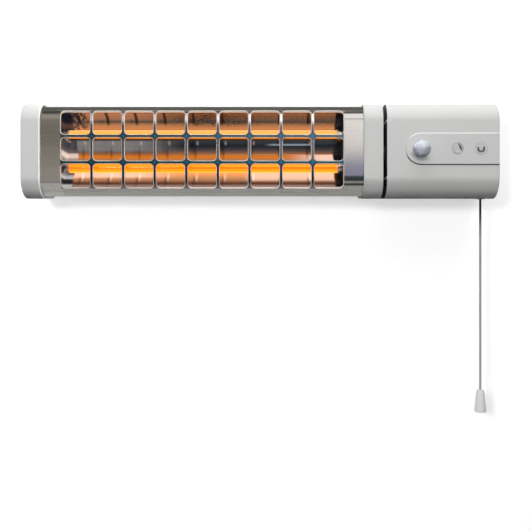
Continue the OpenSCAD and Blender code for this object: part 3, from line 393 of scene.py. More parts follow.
def closed(tube):
    """A tube's grid and the two fans that close its ends, each from the end's middle."""
    fans = [np.stack([end, end.mean(axis=0) + 0 * end]) for end in tube[[0, -1]]]
    return [grid(part, True) for part in (tube, *fans)]


def on_cord(z):
    """Places in metres on the cord's axis, at heights in millimetres."""
    return stacked(CORD_X, CORD_Y, z) * MM


def tube_uv(made, length):
    """UV of a piece round the cord: u is the angle round it, v the height over the length."""
    mesh = made.data
    corner = np.empty(len(mesh.loops), int)
    mesh.loops.foreach_get("vertex_index", corner)
    where = vertices(mesh)[corner] - on_cord(0)
    flat = stacked(np.arctan2(where[:, 1], where[:, 0]) / (2 * pi) % 1, where[:, 2] / length)
    mesh.uv_layers.new(name="UVMap").data.foreach_set("uv", flat.ravel())


KNOT_R, KNOT_Z, KNOT_FLAT = 2.95, -22.62, -2.35
length = (CORD_TOP - BELL_TOP) * MM
cord = piece("braided_cord", closed(braid_tube(CORD_X, CORD_Y, CORD_TOP, BELL_TOP, CORD_R)),
             "cord", CORD_BRAID, ["pull_cord"], angle=60)
knot_a = np.linspace(-pi / 2, pi / 2, 17)
knot_line = stacked(KNOT_R * cos(knot_a) * (1 + 0.04 * cos(9 * knot_a)),
                    np.maximum(KNOT_R * sin(knot_a), KNOT_FLAT))
knot = piece("cord_stopper_knot", [lathe(knot_line * MM, on_cord(KNOT_Z), around=32)],
             "cord", CORD_BRAID, ["cord_knot"], angle=50)
for made in (cord, knot):
    tube_uv(made, length)

# %% [markdown]
# The bell is a small moulding with a soft rim at its foot and a collar line below its top, so it
# is a profile turned about the cord. Its plastic is a function, because the heater's white
# mouldings are the same plastic with print, painted shade and painted highlights laid on it.

# %% Bell
def moulded(name, low, high, rough, scale=1, pitted=0.05, print_and_painted_light=None):
    """Moulded plastic: slow clouds in its colour and gloss and a fine spark-eroded grain. The
    function given last returns what is laid over the clouds, as (factor, colour): print, painted
    shade and painted highlights."""
    place = new_material(name)
    cloud, pits = noise(place, 14 * scale), noise(place, 1900 * scale, 2)
    tone = layers(blend(cloud, low, high), *(print_and_painted_light(place) if print_and_painted_light else ()))
    return surface(place, tone, rough + (cloud - 0.5) * 0.1 + pits * pitted,
                   bump(pits, 0.06, 0.0002), coat_weight=0.05, coat_roughness=0.3)


BELL_FOOT_R, BELL_R = 7.6, 4.5
bell_line = rounded([
    (0, 0), (BELL_FOOT_R - 1.3, 0), (BELL_FOOT_R, 0.6), (BELL_FOOT_R, 2.2), (5.15, 25.6),
    (4.75, 26.0), (4.75, 26.7), (BELL_R, 27.1), (BELL_R, BELL_H), (CORD_R, BELL_H),
    (0, BELL_H)], 0.5)
bell = piece("bell_moulding", [lathe(bell_line * MM, on_cord(BELL_TOP - BELL_H))], "cord",
             moulded("bell_plastic", 80, (88, 88, 87), 0.38, scale=2),
             ["cord_bell"], angle=50)
print("cord length", round(length, 4))

# %% [markdown]
# ## Wall and floor
# The heater hangs on a plain white wall over a pale floor. Both are stage, not part of the
# object. The wall is white to the camera and still takes the heater's soft shadow. Seen from
# behind it is clear, and so it is to whatever lies within 30 mm of it, so that the heater's back
# can be looked at and gets some light.

# %% Stage
def stage_plane(name, x, y, z, finish):
    """A rectangle between two corners, whose y and z run along the same pair of sides."""
    corners = [(x[0], y[0], z[0]), (x[1], y[0], z[0]), (x[1], y[1], z[1]), (x[0], y[1], z[1])]
    mesh = bpy.data.meshes.new(name)
    mesh.from_pydata(corners, [], [(0, 1, 2, 3)])
    mesh.materials.append(finish)
    made = bpy.data.objects.new(name, mesh)
    bpy.context.collection.objects.link(made)
    return made


def stage_finish(name, tone, lift, one_sided):
    """A diffuse grey, with a little added light where the camera, glass or metal looks at it."""
    place = new_material(name)
    camera_ray, through, mirrored_ray, length = (place.node("LightPath", out=kind) for kind in (
        "Is Camera Ray", "Is Transmission Ray", "Is Glossy Ray", "Ray Length"))
    seen = calc("MAXIMUM", camera_ray, through)
    if not one_sided:
        seen = calc("MAXIMUM", seen, mirrored_ray)
    diffuse = place.node("BsdfDiffuse", sockets={
        "Color": blend(noise(place, 3), tone * 0.985, tone)})
    glow = place.node("Emission", sockets={"Strength": seen * lift})
    shader = place.node("AddShader", sockets={0: diffuse, 1: glow})
    if one_sided:
        clear = place.node("BsdfTransparent")
        back = place.node("NewGeometry", out="Backfacing")
        near = calc("LESS_THAN", length, CLEAR_WITHIN)
        shader = place.node("MixShader", sockets={
            0: calc("MAXIMUM", back, near), 1: shader, 2: clear})
    return finished(place, shader)


WALL_Y, FLOOR_Z, REACH, CLEAR_WITHIN = 0.0008, -0.8, 3.0, 0.03
WIDE = (-REACH, REACH)
stage_plane("wall", WIDE, (WALL_Y, WALL_Y), (FLOOR_Z, REACH),
            stage_finish("wall_white", 85, 0.54, True))
stage_plane("floor", WIDE, WIDE, (FLOOR_Z, FLOOR_Z), stage_finish("floor_pale", 18, 0.36, False))
print("stage ready")

# %% [markdown]
# ## The pressed grille
# The real grille is one sheet of stainless steel, pierced with three rows of rounded windows
# whose edges are rolled inwards, then bent round the front of the head. So each window is made
# as a ring grid: its outermost line is the middle of the bars round it, the next lines run over
# the rolled edge, down the turned lip and back along the inside. The rings are worked out flat,
# as seen from the front, and then wrapped onto the head's curve.

# %% Grille as a function of the flat sheet
HEAD_R, GRILLE_IN, SHEET_T, LIP_T, LIP_END = 25.0, 3.0, 1.0, 0.7, 2.95
OUTER_R = HEAD_R - GRILLE_IN
ROLL, DROP, NIP = 0.95, 0.25, 0.12
BACK_Y = -78.0
TANGENT = math.asin(0.1039)
HALF_BAR = BAR / 2
CORNER_A = np.linspace(0, pi / 2, 7)


def wrap(x, z, depth):
    """A flat place (x, z) and a depth below the outer face, on the bent sheet: for |z| up to the
    corner's centre the sheet is flat, and beyond it z rises on a circle with the sine of the
    angle that it has turned."""
    over = np.clip(np.abs(z) - ARC_Z, 0, OUTER_R)
    turned = np.arcsin(over / OUTER_R)
    r = OUTER_R - depth
    up = np.where(over > 0, np.sign(z) * (ARC_Z + r * sin(turned)), z)
    return stacked(x, ARC_Y - r * cos(turned), up)


def mirrored(x, z, side_points=5):
    """A closed outline from its corner at the upper right, (x, z): the corner is mirrored into
    the other three and straight sides of side_points points each join them."""
    quarter = stacked(x, z)
    turns = [quarter, quarter[::-1] * (-1, 1), quarter * (-1, -1), quarter[::-1] * (1, -1)]
    t = np.linspace(0, 1, side_points + 2)[1:-1, None]
    sides = [(1 - t) * turns[k][-1] + t * turns[(k + 1) % 4][0] for k in range(4)]
    return np.concatenate([line for pair in zip(turns, sides) for line in pair])


def ring(half_w, half_h, grow):
    """A rounded rectangle's outline, enlarged by grow: quarter circles c + r (cos a, sin a)
    about the corners' centres."""
    r = CORNER + grow
    return mirrored(half_w - CORNER + r * cos(CORNER_A), half_h - CORNER + r * sin(CORNER_A))


def frame_ring(half_w, half_h):
    """The middle of the bars round a window, point for point with ring: a quarter circle's
    points are spread along the two sides that meet there, as far as tan of their angle."""
    cx, cz, reach = half_w - CORNER, half_h - CORNER, CORNER + HALF_BAR
    x = cx + reach * np.minimum(1, np.tan(np.minimum(pi / 2 - CORNER_A, 1.5)))
    z = cz + reach * np.minimum(1, np.tan(np.minimum(CORNER_A, 1.5)))
    x[-1], z[0] = cx, cz
    return mirrored(x, z)


starts = [WINDOW_X[0] + i * PITCH + (END_EXTRA if i else 0) for i in range(COLUMNS)]
stops = [start - BAR for start in starts[1:]] + [WINDOW_X[1]]
windows = [(np.array([x0 + x1, z0 + z1]) / 2, np.array([x1 - x0, z1 - z0]) / 2)
           for x0, x1 in zip(starts, stops) for z0, z1 in ROWS]
roll_a = np.linspace(0, pi / 2, 6)
section = ([(ROLL + DROP, 0.0)]
           + [(ROLL * (1 - sin(a)), ROLL * (1 - cos(a))) for a in roll_a]
           + [(0.0, LIP_END - DROP), (NIP, LIP_END), (LIP_T - NIP, LIP_END),
              (LIP_T, LIP_END - DROP), (LIP_T, SHEET_T + 0.1), (LIP_T + 0.3, SHEET_T)])
cells, x_lines, z_lines = [], set(), set()
for mid, half in windows:
    rim = frame_ring(*half) + mid
    loops = [(rim, 0.0)] + [(ring(*half, w) + mid, d) for w, d in section] + [(rim, SHEET_T)]
    cells.append(grid(np.stack([wrap(*p.T, d) for p, d in loops]) * MM, True))
    edge = np.round(rim, 5)
    on_rim = np.isclose(np.abs(edge - mid), half + HALF_BAR)
    x_lines |= set(edge[on_rim[:, 1], 0])
    z_lines |= set(edge[on_rim[:, 0], 1])
print("cells:", len(cells), "lines:", len(x_lines), len(z_lines))

# %% [markdown]
# The plain margins join the outer cell lines to the sheet's ends and to its folded long edges.
# They use the same lines as the cells, so that their points meet and merge. The long sides turn
# round the head's front corners and run straight back.

# %% Margins of the sheet
x_in, z_in = np.array(sorted(x_lines)), np.array(sorted(z_lines))
left = np.linspace(SHEET_X[0], x_in[0], 13)
right = np.linspace(x_in[-1], SHEET_X[1], 13)
x_all = np.concatenate([left[:-1], x_in, right[1:]])
turn = np.linspace(math.asin((z_in[-1] - ARC_Z) / OUTER_R), pi / 2 + TANGENT, 15)


def fold_line(side, depth):
    """The sheet's long edge as (y, z) rows: round the corner's circle, then straight back along
    its tangent to the sheet's end."""
    r = OUTER_R - depth
    y, z = ARC_Y - r * cos(turn), ARC_Z + r * sin(turn)
    run = BACK_Y - y[-1]
    return stacked(np.append(y, BACK_Y), side * np.append(z, z[-1] - run * math.tan(TANGENT)))


def margin(depth):
    """All margins at a depth below the outer face: two long folds and two flat ends."""
    folds = [stacked(x_all[:, None], *fold_line(side, depth).T[:, None]) for side in (1, -1)]
    ends = [wrap(x[:, None], z_in[None, :], depth) for x in (left, right)]
    return [grid(part * MM) for part in folds + ends]


def end_line(depth):
    """The sheet's whole section as (y, z) rows: lower fold, front through z_in, upper fold."""
    low, high = (fold_line(side, depth) for side in (-1, 1))
    front = wrap(np.zeros_like(z_in), z_in, depth)[:, 1:]
    return np.concatenate([low[:0:-1], front, high[1:]])


def sheet_rim():
    """The sheet's cut edges: the strip between its two faces, round all four sides."""
    lines = [end_line(depth) for depth in (0.0, SHEET_T)]
    ends = [[np.insert(line, 0, x, axis=1) for line in lines] for x in SHEET_X]
    edges = [[stacked(x_all, *line[k]) for line in lines] for k in (0, -1)]
    return [grid(np.stack(strip) * MM) for strip in ends + edges]


def from_window(x, z):
    """Millimetres outside the nearest window's edge, below 0 inside it: with q the place from
    a window's corner centres, |max(q, 0)| + min(max(qx, qz), 0) - r."""
    nearest = np.full(x.shape, 1e3)
    for mid, half in windows:
        q = np.abs(stacked(x, z) - mid) - half + CORNER
        far = np.linalg.norm(np.maximum(q, 0), axis=-1)
        nearest = np.minimum(nearest, far + np.minimum(q.max(axis=-1), 0) - CORNER)
    return nearest


def steel_finish():
    """Rolled stainless steel with long fine scratches along X. The narrow bars carry painted
    reflections, from nearly black over blue to a pale rose highlight at the top, and blue ones at
    their crossings. The windows' rolled edges carry a painted highlight, and the plain ends painted
    reflections of the dark room in bands, with painted shade lines along their folds and creases."""
    place = new_material("stainless_sheet")
    streak = noise(place, 1, 4, (14, 900, 900))
    cloud = noise(place, 22)
    along, out, up = in_mm(place)
    edge = place.node("Attribute", {"attribute_name": "from_window"}, out="Fac")
    right, left = rise(along, 104, 107), rise(along, -249, -251)
    # the streaks are the steel's own; every band laid over them is painted: reflections of the
    # room, and shade along the folds and creases
    plain = layers(
        blend(streak, (48, 46.5, 43), (54, 52, 49)),
        (right * rise(up, 8, -28) * (1 - rise(up, -38, -42)) * 0.56, (4.5, 6, 19)),
        (right * band(up, -39.6, -33.6, 0.8) * 0.75, (5, 8.5, 7.5)),
        (left * rise(up, -12, 14) * 0.36, (9, 7.5, 5.5)),
        (left * rise(up, -14, -34) * 0.5, (72, 70, 66)),
        (right * band(up, -45.6, -42.6, 0.4) * 0.9, (2.5, 4, 3)),
        (right * band(up, 34, 43, 2) * 0.25, 10), (right * band(up, 37.2, 38.4, 0.2) * 0.7, 10),
        (left * band(up, -42.3, -40.4, 0.4) * 0.4, (10, 10, 9)),
        (left * band(up, 34.5, 39, 1) * 0.25, (10, 9, 7)),
        (rise(up, 49.2, 50.6) * rise(out, -88, -92), (8.5, 8, 6.5)))
    # painted reflections along the bars: nearly black low, blue grey in the middle, a pale rose
    # painted highlight at the top
    bar_reflection = ramp((up + 50) / 100, (0, 30, 27, 27), (8, 3, 3, 5), (28, 3, 5, 10),
                   (38, 13, 14, 15), (62, 12, 13, 16), (70, 8, 8, 12), (80, 16, 13, 14),
                   (86, 75, 66, 66), (100, 70, 62, 58))
    level = band(calc("ABSOLUTE", up), 14.4, 18.6, 0.5)
    # painted blue reflections where the bars cross
    crossing_reflection = blend(rise(up, -5, 5), (3, 9.5, 10.5), (7.5, 11, 12.5))
    painted_bar_colour = layers(bar_reflection, (level, crossing_reflection), (rise(edge, 2.8, 4.2), (3.5, 18, 30)))
    field = band(up, -48.9, 48.9, 0.4) * band(along, -250.3, 105, 0.4)
    # painted highlight on the windows' rolled edges, dimmed at the lower left by painted shade
    lip_shade = rise(up, -42, -45) * rise(along, -110, -150)
    tone = layers(plain, (field * rise(edge, 0.6, 0.95), painted_bar_colour),
                  ((1 - rise(edge, 0.45, 0.85)) * (0.9 - 0.6 * lip_shade), (86, 84, 80)))
    return surface(place, tone, 0.2 + streak * 0.12 + (cloud - 0.5) * 0.05,
                   bump(streak, 0.04, 0.0001), metallic=1 - 0.6 * (1 - rise(edge, 0.6, 1)))


grille = piece("pressed_grille", cells + margin(0.0) + margin(SHEET_T) + sheet_rim(),
               "head", steel_finish(), ["front_grille"], angle=50, merge=2e-6)
where = vertices(grille.data) / MM
grille.data.attributes.new("from_window", "FLOAT", "POINT").data.foreach_set(
    "value", from_window(where[:, 0], where[:, 2]))
check = bmesh.new()
check.from_mesh(grille.data)
print("open edges of the grille:", sum(not e.is_manifold for e in check.edges))
check.free()

# %% [markdown]
# ## White mouldings
# The two end caps, the control box and its panel are injection mouldings. Their CAD solids have
# the right shape, holes and bosses, but come as loose triangles. A merged copy of each gets
# smooth shading on its curves, and the panel's copy a fine bevel that breaks its sharp edges as a
# mould does.

# %% Merged copies of CAD solids
SLOTS = {part["node"]: part["material_slot"] for part in frame["record"]["subparts"]}


def kept(node, name, finish, width=0.0, angle=32):
    """A merged copy of a CAD node that stands for it: curves shaded smooth, and edges sharper
    than angle rounded by width in millimetres."""
    source = frame["nodes"][node]
    mesh = source.data.copy()
    mesh.name = name
    settle(mesh, 2e-6, 180 if width else angle, outward=False)
    made = place_piece(name, mesh, source["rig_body"], finish, [node])
    if width:
        soft = made.modifiers.new("soft_edges", "BEVEL")
        soft.width, soft.segments = width * MM, 2
        soft.limit_method, soft.angle_limit = "ANGLE", math.radians(angle)
    even = made.modifiers.new("even_normals", "WEIGHTED_NORMAL")
    even.weight, even.keep_sharp = 80, not width
    return made


def white_shade_and_highlights(place):
    """Painted shade under the round lower edge, a painted highlight along the left cap's joint, a
    painted shadow line below the sensor panel's round end and a painted highlight above it, and
    painted shade with two painted glints on the faces inside the gap between head and box."""
    along, out, up = in_mm(place)
    front = rise(out, -108, -109.2)
    left = calc("MINIMUM", along - LENS_X, 0.0)
    far = calc("SQRT", left * left + up * up)
    gap = band(along, 154.4, 159.1, 0.15)
    # all painted light: shade below, highlights at the joints, and shade with two glints in the gap
    return [(rise(up, -31, -47) * 0.12, (10, 10, 9)),
            (rise(up, -49, -60.5) * 0.66, (10, 10, 9.5)), (rise(up, -57.8, -60) * 0.5, 5),
            (band(along, -277.1, -275.3, 0.15), 100),
            (band(far, 19.1, 20.5, 0.15) * front * rise(up, -2, -13), 5),
            (band(far, 19.1, 20.1, 0.2) * front * rise(up, 9, 16), (97, 97, 96)),
            (gap, (3, 3, 3.4)), (gap * band(calc("ABSOLUTE", up), 34.2, 37, 0.2), 95)]


WHITE = moulded("white_plastic", (60, 60, 59), (66, 66, 65), 0.4, print_and_painted_light=white_shade_and_highlights)
for node, name in (("left_end_cap", "left_cap"), ("right_end_cap", "right_cap"),
                   ("control_base", "box_back"), ("control_cover", "box_front")):
    made = kept(node, f"{name}_moulding", WHITE)
    print(made.name, len(made.data.polygons))

# %% [markdown]
# ## Sensor panel
# The panel carries the two adjusters. Round each is a thin printed ring, and on each disc a plain
# mark without letters that shows its setting: a crescent on the light adjuster, an open ring on
# the time adjuster. They are drawn in the material from the distance and angle to the axis, and
# so is the soft shade that the lens throws on the panel below it.

# %% Panel finish and panel
def polar(place, x):
    """Distance in millimetres from an adjuster's axis, and angle in turns: 0 at the left, a
    quarter at the bottom, a half at the right."""
    along, _, up = in_mm(place)
    aside = along - x
    return calc("SQRT", aside * aside + up * up), calc("ARCTAN2", up, aside) / (2 * pi) + 0.5


def panel_print_and_shade(place):
    """The printed rings round the adjusters, and the lens's soft shade on the panel."""
    along, _, up = in_mm(place)
    far, turned = polar(place, LIGHT_X)
    ink = band(far, 6.7, 7.5, 0.15) * (0.42 + 0.5 * band(turned, 0.42, 0.74, 0.04))
    far, turned = polar(place, TIME_X)
    ticks = band(calc("FRACT", turned * 18), 0.35, 0.65, 0.06)
    ink = ink + band(far, 7.5, 8.1, 0.15) * (0.34 + 0.6 * ticks)
    # painted shadow of the lens on the panel below it
    far, _ = polar(place, LENS_X)
    under = rise(up + (along - LENS_X) * 0.3, -6, -12)
    shade = (1 - rise(far, 11.5, 17.5)) * under * 0.65
    return [(shade, (12, 12, 13)), (ink, 13)]


PANEL = moulded("sensor_panel_plastic", (60, 60, 59.5), (66, 66, 65.5), 0.4,
                pitted=0.0, print_and_painted_light=panel_print_and_shade)
panel = kept("sensor_panel", "panel_moulding", PANEL, width=0.3)
print("panel", len(panel.data.polygons))

# %% [markdown]
# ## Sensor lens
# A motion sensor looks out through a milky dome of many small flat lenses. Its outside is the
# inner envelope of planes that all touch one sphere: in a direction, the surface lies as far out
# as the nearest plane allows, R / max(n . d) over the planes' normals n.

# %% Faceted dome
def dome(centre, radius, flat, columns=96, rows=40):
    """A half ball towards -Y made of facets. The facets' normals stand on rings, each turned by
    half a facet against the one below; flat is how far a facet's middle is inside the ball."""
    normals = [np.array([[0.0, -1.0, 0.0]])]
    for up, count in ((22, 6), (44, 11), (66, 15), (86, 17)):
        a = (np.arange(count) + (up // 22 % 2) / 2) * 2 * pi / count
        s, c = sin(math.radians(up)), cos(math.radians(up))
        normals.append(stacked(s * cos(a), -c, s * sin(a)))
    normals = np.concatenate(normals)
    tilt = np.linspace(0, pi / 2, rows)[:, None]
    turn = circle(columns)
    way = stacked(sin(tilt) * cos(turn), -cos(tilt), sin(tilt) * sin(turn))
    nearest = (way @ normals.T).max(axis=-1)
    out = np.minimum(radius, radius * (1 - flat) / nearest)
    return centre + way * out[..., None]


def lens_finish():
    """Milky plastic, painted shade below and at the left, painted highlight flecks near its top."""
    place = new_material("lens_plastic")
    cloud, fine = noise(place, 260, 2), noise(place, 1400, 2)
    along, _, up = in_mm(place)
    # painted shade below and at the left, and painted highlight flecks near the top
    milk_with_painted_light = layers(blend(cloud, (57, 57, 64), (70, 70, 78)),
                  (rise(up, -6.5, -10.5) * 0.65, (12, 12, 14)),
                  (rise(up * 0.5 + (along - LENS_X), -7, -11) * 0.5, (12, 12, 14)),
                  (rise(fine, 0.52, 0.58) * band(up, 0.5, 6.5, 1), (98, 98, 100)))
    return surface(place, milk_with_painted_light, 0.22 + fine * 0.14, bump(fine, 0.25, 0.0002),
                   coat_weight=0.4, coat_roughness=0.12, subsurface_weight=0.15)


LENS_R, LENS_IN_R, FLANGE_R, AROUND = 10.75, 9.95, 12.35, 96
lens_at = (LENS_X, -111.8, 0)
outside, inside = dome(lens_at, LENS_R, 0.035, AROUND), dome(lens_at, LENS_IN_R, 0.02, AROUND)
flange = [(LENS_R, 0), (LENS_R, 2.3), (FLANGE_R, 2.3), (FLANGE_R, 3.3), (LENS_IN_R, 3.3),
          (LENS_IN_R, 0)]
collar = lathe(flange, lens_at, "y", AROUND)[0].reshape(len(flange), AROUND, 3)
collar = np.concatenate([outside[-1:], collar, inside[-1:]])
piece("faceted_lens", [grid(part * MM, True) for part in (outside, inside, collar)],
      "base", lens_finish(), ["sensor_lens"], angle=60, merge=3e-6)

# %% [markdown]
# ## Adjusters
# Each adjuster is a small disc, nearly flush with the panel, with a slot for a coin or a
# fingernail. The CAD solid is right, so a merged copy with broken edges stands for it.

# %% Adjusters
def knob_finish(name, x, mark):
    """Satin plastic in the panel's tone, with the disc's mark in dark grey."""
    place = new_material(name)
    cloud = noise(place, 60)
    far, turned = polar(place, x)
    if mark == "crescent":
        fat = band(turned, 0.46, 0.68, 0.05)
        ink = band(turned, 0.42, 0.74, 0.02) * band(far, 5.1 - 2.2 * fat, 6, 0.2)
    else:
        open_top = 1 - rise(turned, 0.58, 0.65) + band(turned, 0.92, 1.2, 0.02)
        ink = band(far, 2.5, 4.9, 0.3) * open_top
    tone = layers(blend(cloud, (57, 57, 56), (64, 64, 63)), (ink * 0.92, 3.5))
    return surface(place, tone, 0.33 + (cloud - 0.5) * 0.1, bump(cloud, 0.05, 0.0002))


for kind, x, mark in (("light", LIGHT_X, "crescent"), ("time", TIME_X, "open ring")):
    kept(f"{kind}_adjuster", f"{kind}_adjuster_disc",
         knob_finish(f"{kind}_knob_plastic", x, mark), width=0.2)
    print(kind, "adjuster:", mark)

# %% [markdown]
# ## Reflector
# Behind the tubes a polished aluminium sheet is folded into a trough. It is a profile carried
# along the head: the fold line as (y, z), rounded at its bends, and a second line one sheet
# thickness behind it. Its colour has a copper tint above the tubes and a bluish one between,
# heat tint and painted reflection both. A painted reflection of the room is a second ramp,
# given off as emission.

# %% Reflector
def carried(profile, x0, x1):
    """A closed profile of (y, z) rows carried along X, closed at both ends."""
    side = stacked([[x0], [x1]], *profile.T)
    half = len(profile) // 2
    ends = [np.stack([s[:half], s[half:][::-1]]) for s in side]
    return [grid(side * MM, True)] + [grid(end * MM) for end in ends]


def sheet(line, thickness):
    """The closed profile of a sheet: its line, and back along the line moved sideways by the
    thickness, along the mean normal of its two segments."""
    step = np.gradient(line, axis=0)
    back = line + thickness * unit(stacked(step[:, 1], -step[:, 0]))
    return np.concatenate([line, back[::-1]])


BOX_D, REFLECTOR_T, FOLD_R, INSET = 110, 0.8, 2.2, 1.1
FIRST_BAR, MIRRORED = 213.1, 36.63
half_line = np.array([(13.5, 50.2), (10.5, 46.0), (21.0, 42.6), (37.5, 19.3), (46.0, 0.0)])
fold = rounded(np.concatenate([half_line, half_line[-2::-1] * (1, -1)]) - (BOX_D, 0), FOLD_R, 5)


def painted_end_reflection(level, along):
    """Painted reflection at the nearly black ends: pale stripes at the left end, almost nothing at
    the right.
    """
    stripes = ramp(
        level, (6, 45, 45, 46), (9, 0.6, 0.6, 0.8), (14, 1, 1, 1.2), (17, 55, 52, 50),
        (20, 30, 29, 29), (23, 1.5, 1.5, 2), (38, 1, 1, 1.5), (42, 36, 26, 21), (46, 80, 62, 54),
        (49.5, 70, 52, 45), (51.5, 13, 10, 9), (57, 5, 4.5, 5.5), (64, 3.5, 4, 5),
        (68, 0.4, 0.6, 1.2), (78, 1, 0.8, 1.2), (83, 10, 5, 3.5), (88, 0.6, 0.6, 1),
        (100, 0.4, 0.5, 1))
    return blend(rise(along, 0, -100), (0.4, 0.4, 0.5), stripes)


def height_level(up, cloud, sway):
    """The height as 0 to 1 over the trough's 100 mm, swaying with a noise, for the ramps."""
    return (up + (cloud - 0.5) * sway + 50) / 100


def trough_finish():
    """Polished aluminium with rolling lines along X. One ramp over the height is its colour, a
    copper tint above the tubes and a bluish one between, heat tint and painted reflection both. The
    other is a painted reflection of the room, given off as emission: cream below the lower tube,
    dark between the tubes and copper above. The grille's bars are painted as thin dark reflected
    lines,
    MIRRORED apart, each with a painted glint at its side. Both sides show paler painted
    reflections, a dark grain covers the upper flank, and both ends are nearly black."""
    place = new_material("polished_sheet")
    streak = noise(place, 1, stretch=(10, 700, 700))
    cloud = noise(place, 1, stretch=(8, 40, 40))
    grain = rise(noise(place, 430, 2, (1, 1.8, 1.8)), 0.44, 0.6)
    along, _, up = in_mm(place)
    level = height_level(up, cloud, 2.5)
    west, east = rise(along, -95, -170), rise(along, -24, -6)
    # colour: heat tint, darkened in bands as painted reflection
    tint = ramp(
        level, (0, 8, 7, 7), (9, 5), (16, 14, 12, 10), (26, 42, 28, 18), (42, 38, 20, 10),
        (50, 14, 11, 10), (56, 3.5, 4, 5), (66, 4, 4.5, 5.5), (72, 20, 12, 9), (86, 12, 8, 5.5),
        (100, 9, 6, 4.5))
    # painted reflection of the room, given off as emission
    painted_reflection = ramp(
        level, (5.5, 14), (8.4, 1), (11.2, 6, 5.5, 5), (14, 24, 16, 10),
        (17, 34, 22, 10), (20, 42, 26, 12), (23, 48, 28, 13), (30, 10, 5, 3), (41, 30, 17, 10),
        (45, 60, 17, 2), (48.5, 36, 11, 1.5), (53, 7, 3.5, 2.5), (56, 3, 2, 2),
        (60, 0.4, 0.8, 1.2), (67, 0.6, 1.4, 1.8), (76, 28, 12, 5), (80, 46, 18, 6),
        (83.5, 36, 16, 7), (85.8, 20, 10, 5), (88, 5, 2.5, 1.5), (90.4, 10, 5.5, 3.5),
        (92.5, 14, 6.5, 3.5), (95, 22, 9, 4), (100, 12, 6, 4))
    # painted reflections of the grille's bars as dark lines, and a painted glint beside each
    beat = calc("FRACT", (along + FIRST_BAR) / MIRRORED)
    line = band(beat, 0.455, 0.535, 0.03) * (band(up, -6, 7, 5) * 0.45
                                             + band(up, -45, -33, 4) * 0.5)
    line = line + band(beat, 0.44, 0.55, 0.03) * rise(up, 32, 38) * 0.9
    painted_gleam = band(beat, 0.55, 0.62, 0.03) * (band(up, -36, -27, 4) + band(up, 11.5, 15.5, 2) * 0.5)
    # paler painted reflections at both sides, and a pale painted band right of the middle
    pale = west * band(up, -33, -22, 2) * 0.62 + east * band(up, -37, -22, 2.5) * 0.6
    pale = pale + rise(along, 30, 85) * band(up, -9, -1, 1) * 0.8
    # more painted reflection: slate and copper at the left, a pale blue highlight right of the
    # middle, cream patches
    painted_reflection = layers(
        painted_reflection, (west * band(up, 3.5, 17, 3), (18, 16.5, 16.5)),
        (west * rise(up, 38, 42) * 0.3, (62, 25, 14)),
        (band(up, 10.4, 12.6, 0.6) * band(along, 12, 66, 8), (22, 26, 30)),
        (pale + painted_gleam * 0.5, (92, 72, 60)))
    # both ends nearly black, with dark flecks over the upper left
    ragged_along = (cloud - 0.5) * 8 + along
    dark_ends = calc("MAXIMUM", rise(ragged_along, -238, -240.5), rise(ragged_along, 94.5, 97))
    dark_flecks = rise(noise(place, 260, 2, (1, 1, 0.3)), 0.42, 0.56)
    dark_ends = calc("MAXIMUM", dark_ends, dark_flecks * rise(ragged_along, -218, -226) * rise(up, 26, 30))
    # the painted bar lines, and a dark grain over the upper flank, strongest in the middle
    shade = band(along, -95, -20, 35) * 0.55 + 0.35 * (1 - west)
    dark_lines_and_grain = calc("MAXIMUM", line, (grain * 0.75 + 0.25) * rise(up, 30, 36) * shade)
    tint = layers(tint, (dark_ends, (5, 5, 6)), (dark_lines_and_grain, (2, 1.5, 1.5)))
    painted_reflection = layers(painted_reflection, (dark_ends, painted_end_reflection(level, along)), (dark_lines_and_grain, (0.4, 0.3, 0.3)))
    return surface(place, tint, 0.1 + streak * 0.1, bump(streak, 0.12, 0.0001),
                   metallic=1, emission_strength=1, emission_color=painted_reflection)


TROUGH = trough_finish()
piece("folded_reflector",
      carried(sheet(fold, -REFLECTOR_T), CHEEK_X[0] + INSET, CHEEK_X[1] - INSET),
      "head", TROUGH, ["reflector"], angle=35)

# %% [markdown]
# The cheeks that close the trough's ends are nearly black, with a painted reflection of the
# trough's pale stripes given off as emission. A spring clip holds each tube just inside its cheek
# and catches the light.

# %% Cheeks and clips
def black_cheek_finish():
    """Nearly black sheet with a painted reflection of the trough's pale stripes near its middle."""
    place = new_material("black_cheek_sheet")
    cloud = noise(place, 60, 4)
    along, _, up = in_mm(place)
    level = height_level(up, cloud, 3)
    return surface(place, blend(cloud, (2, 2.2, 3), (7, 6.5, 7)), 0.25 + cloud * 0.25,
                   bump(cloud, 0.2, 0.001), metallic=0.7, emission_strength=1,
                   emission_color=painted_end_reflection(level, along))


def clip_band(x, z):
    """A spring strip bent round a tube: an open ring about the tube's axis, with two ears that
    turn back towards the cheek's back edge. Its line runs (r cos a, r sin a) from 38 to 322
    degrees, then straight to the ears' tips."""
    a = np.radians(np.linspace(38, 322, 41))
    line = stacked(TUBE_Y + CLIP_R * cos(a), z + CLIP_R * sin(a))
    line = np.concatenate([line[:1] + (EAR_Y, EAR_Z), line, line[-1:] + (EAR_Y, -EAR_Z)])
    return carried(sheet(line, CLIP_T), x, x + CLIP_W)


def mottled(name, low, high, rough, metallic=0, scale=40):
    """A plain finish that still varies: its tone, gloss and height follow one cloudy noise."""
    place = new_material(name)
    cloud = noise(place, scale, 4)
    return surface(place, blend(cloud, low, high), rough + (cloud - 0.5) * 0.2,
                   bump(cloud, 0.1, 0.0005), metallic=metallic)


CLIP_R, CLIP_W, CLIP_T, CLIP_IN, EAR_Y, EAR_Z = 7.1, 5.0, 0.6, 2.0, 5.0, 2.5
BLACK_CHEEK = black_cheek_finish()
SPRING = mottled("spring_steel", (50, 47, 45), (72, 70, 68), 0.25, 1, 120)
for side in ("left", "right"):
    kept(f"{side}_cheek", f"{side}_cheek_sheet", BLACK_CHEEK)
for side, x in (("left", CHEEK_X[0] + CLIP_IN), ("right", CHEEK_X[1] - CLIP_IN - CLIP_W)):
    piece(f"{side}_tube_clips", clip_band(x, TUBE_Z) + clip_band(x, -TUBE_Z),
          "head", SPRING, angle=35)
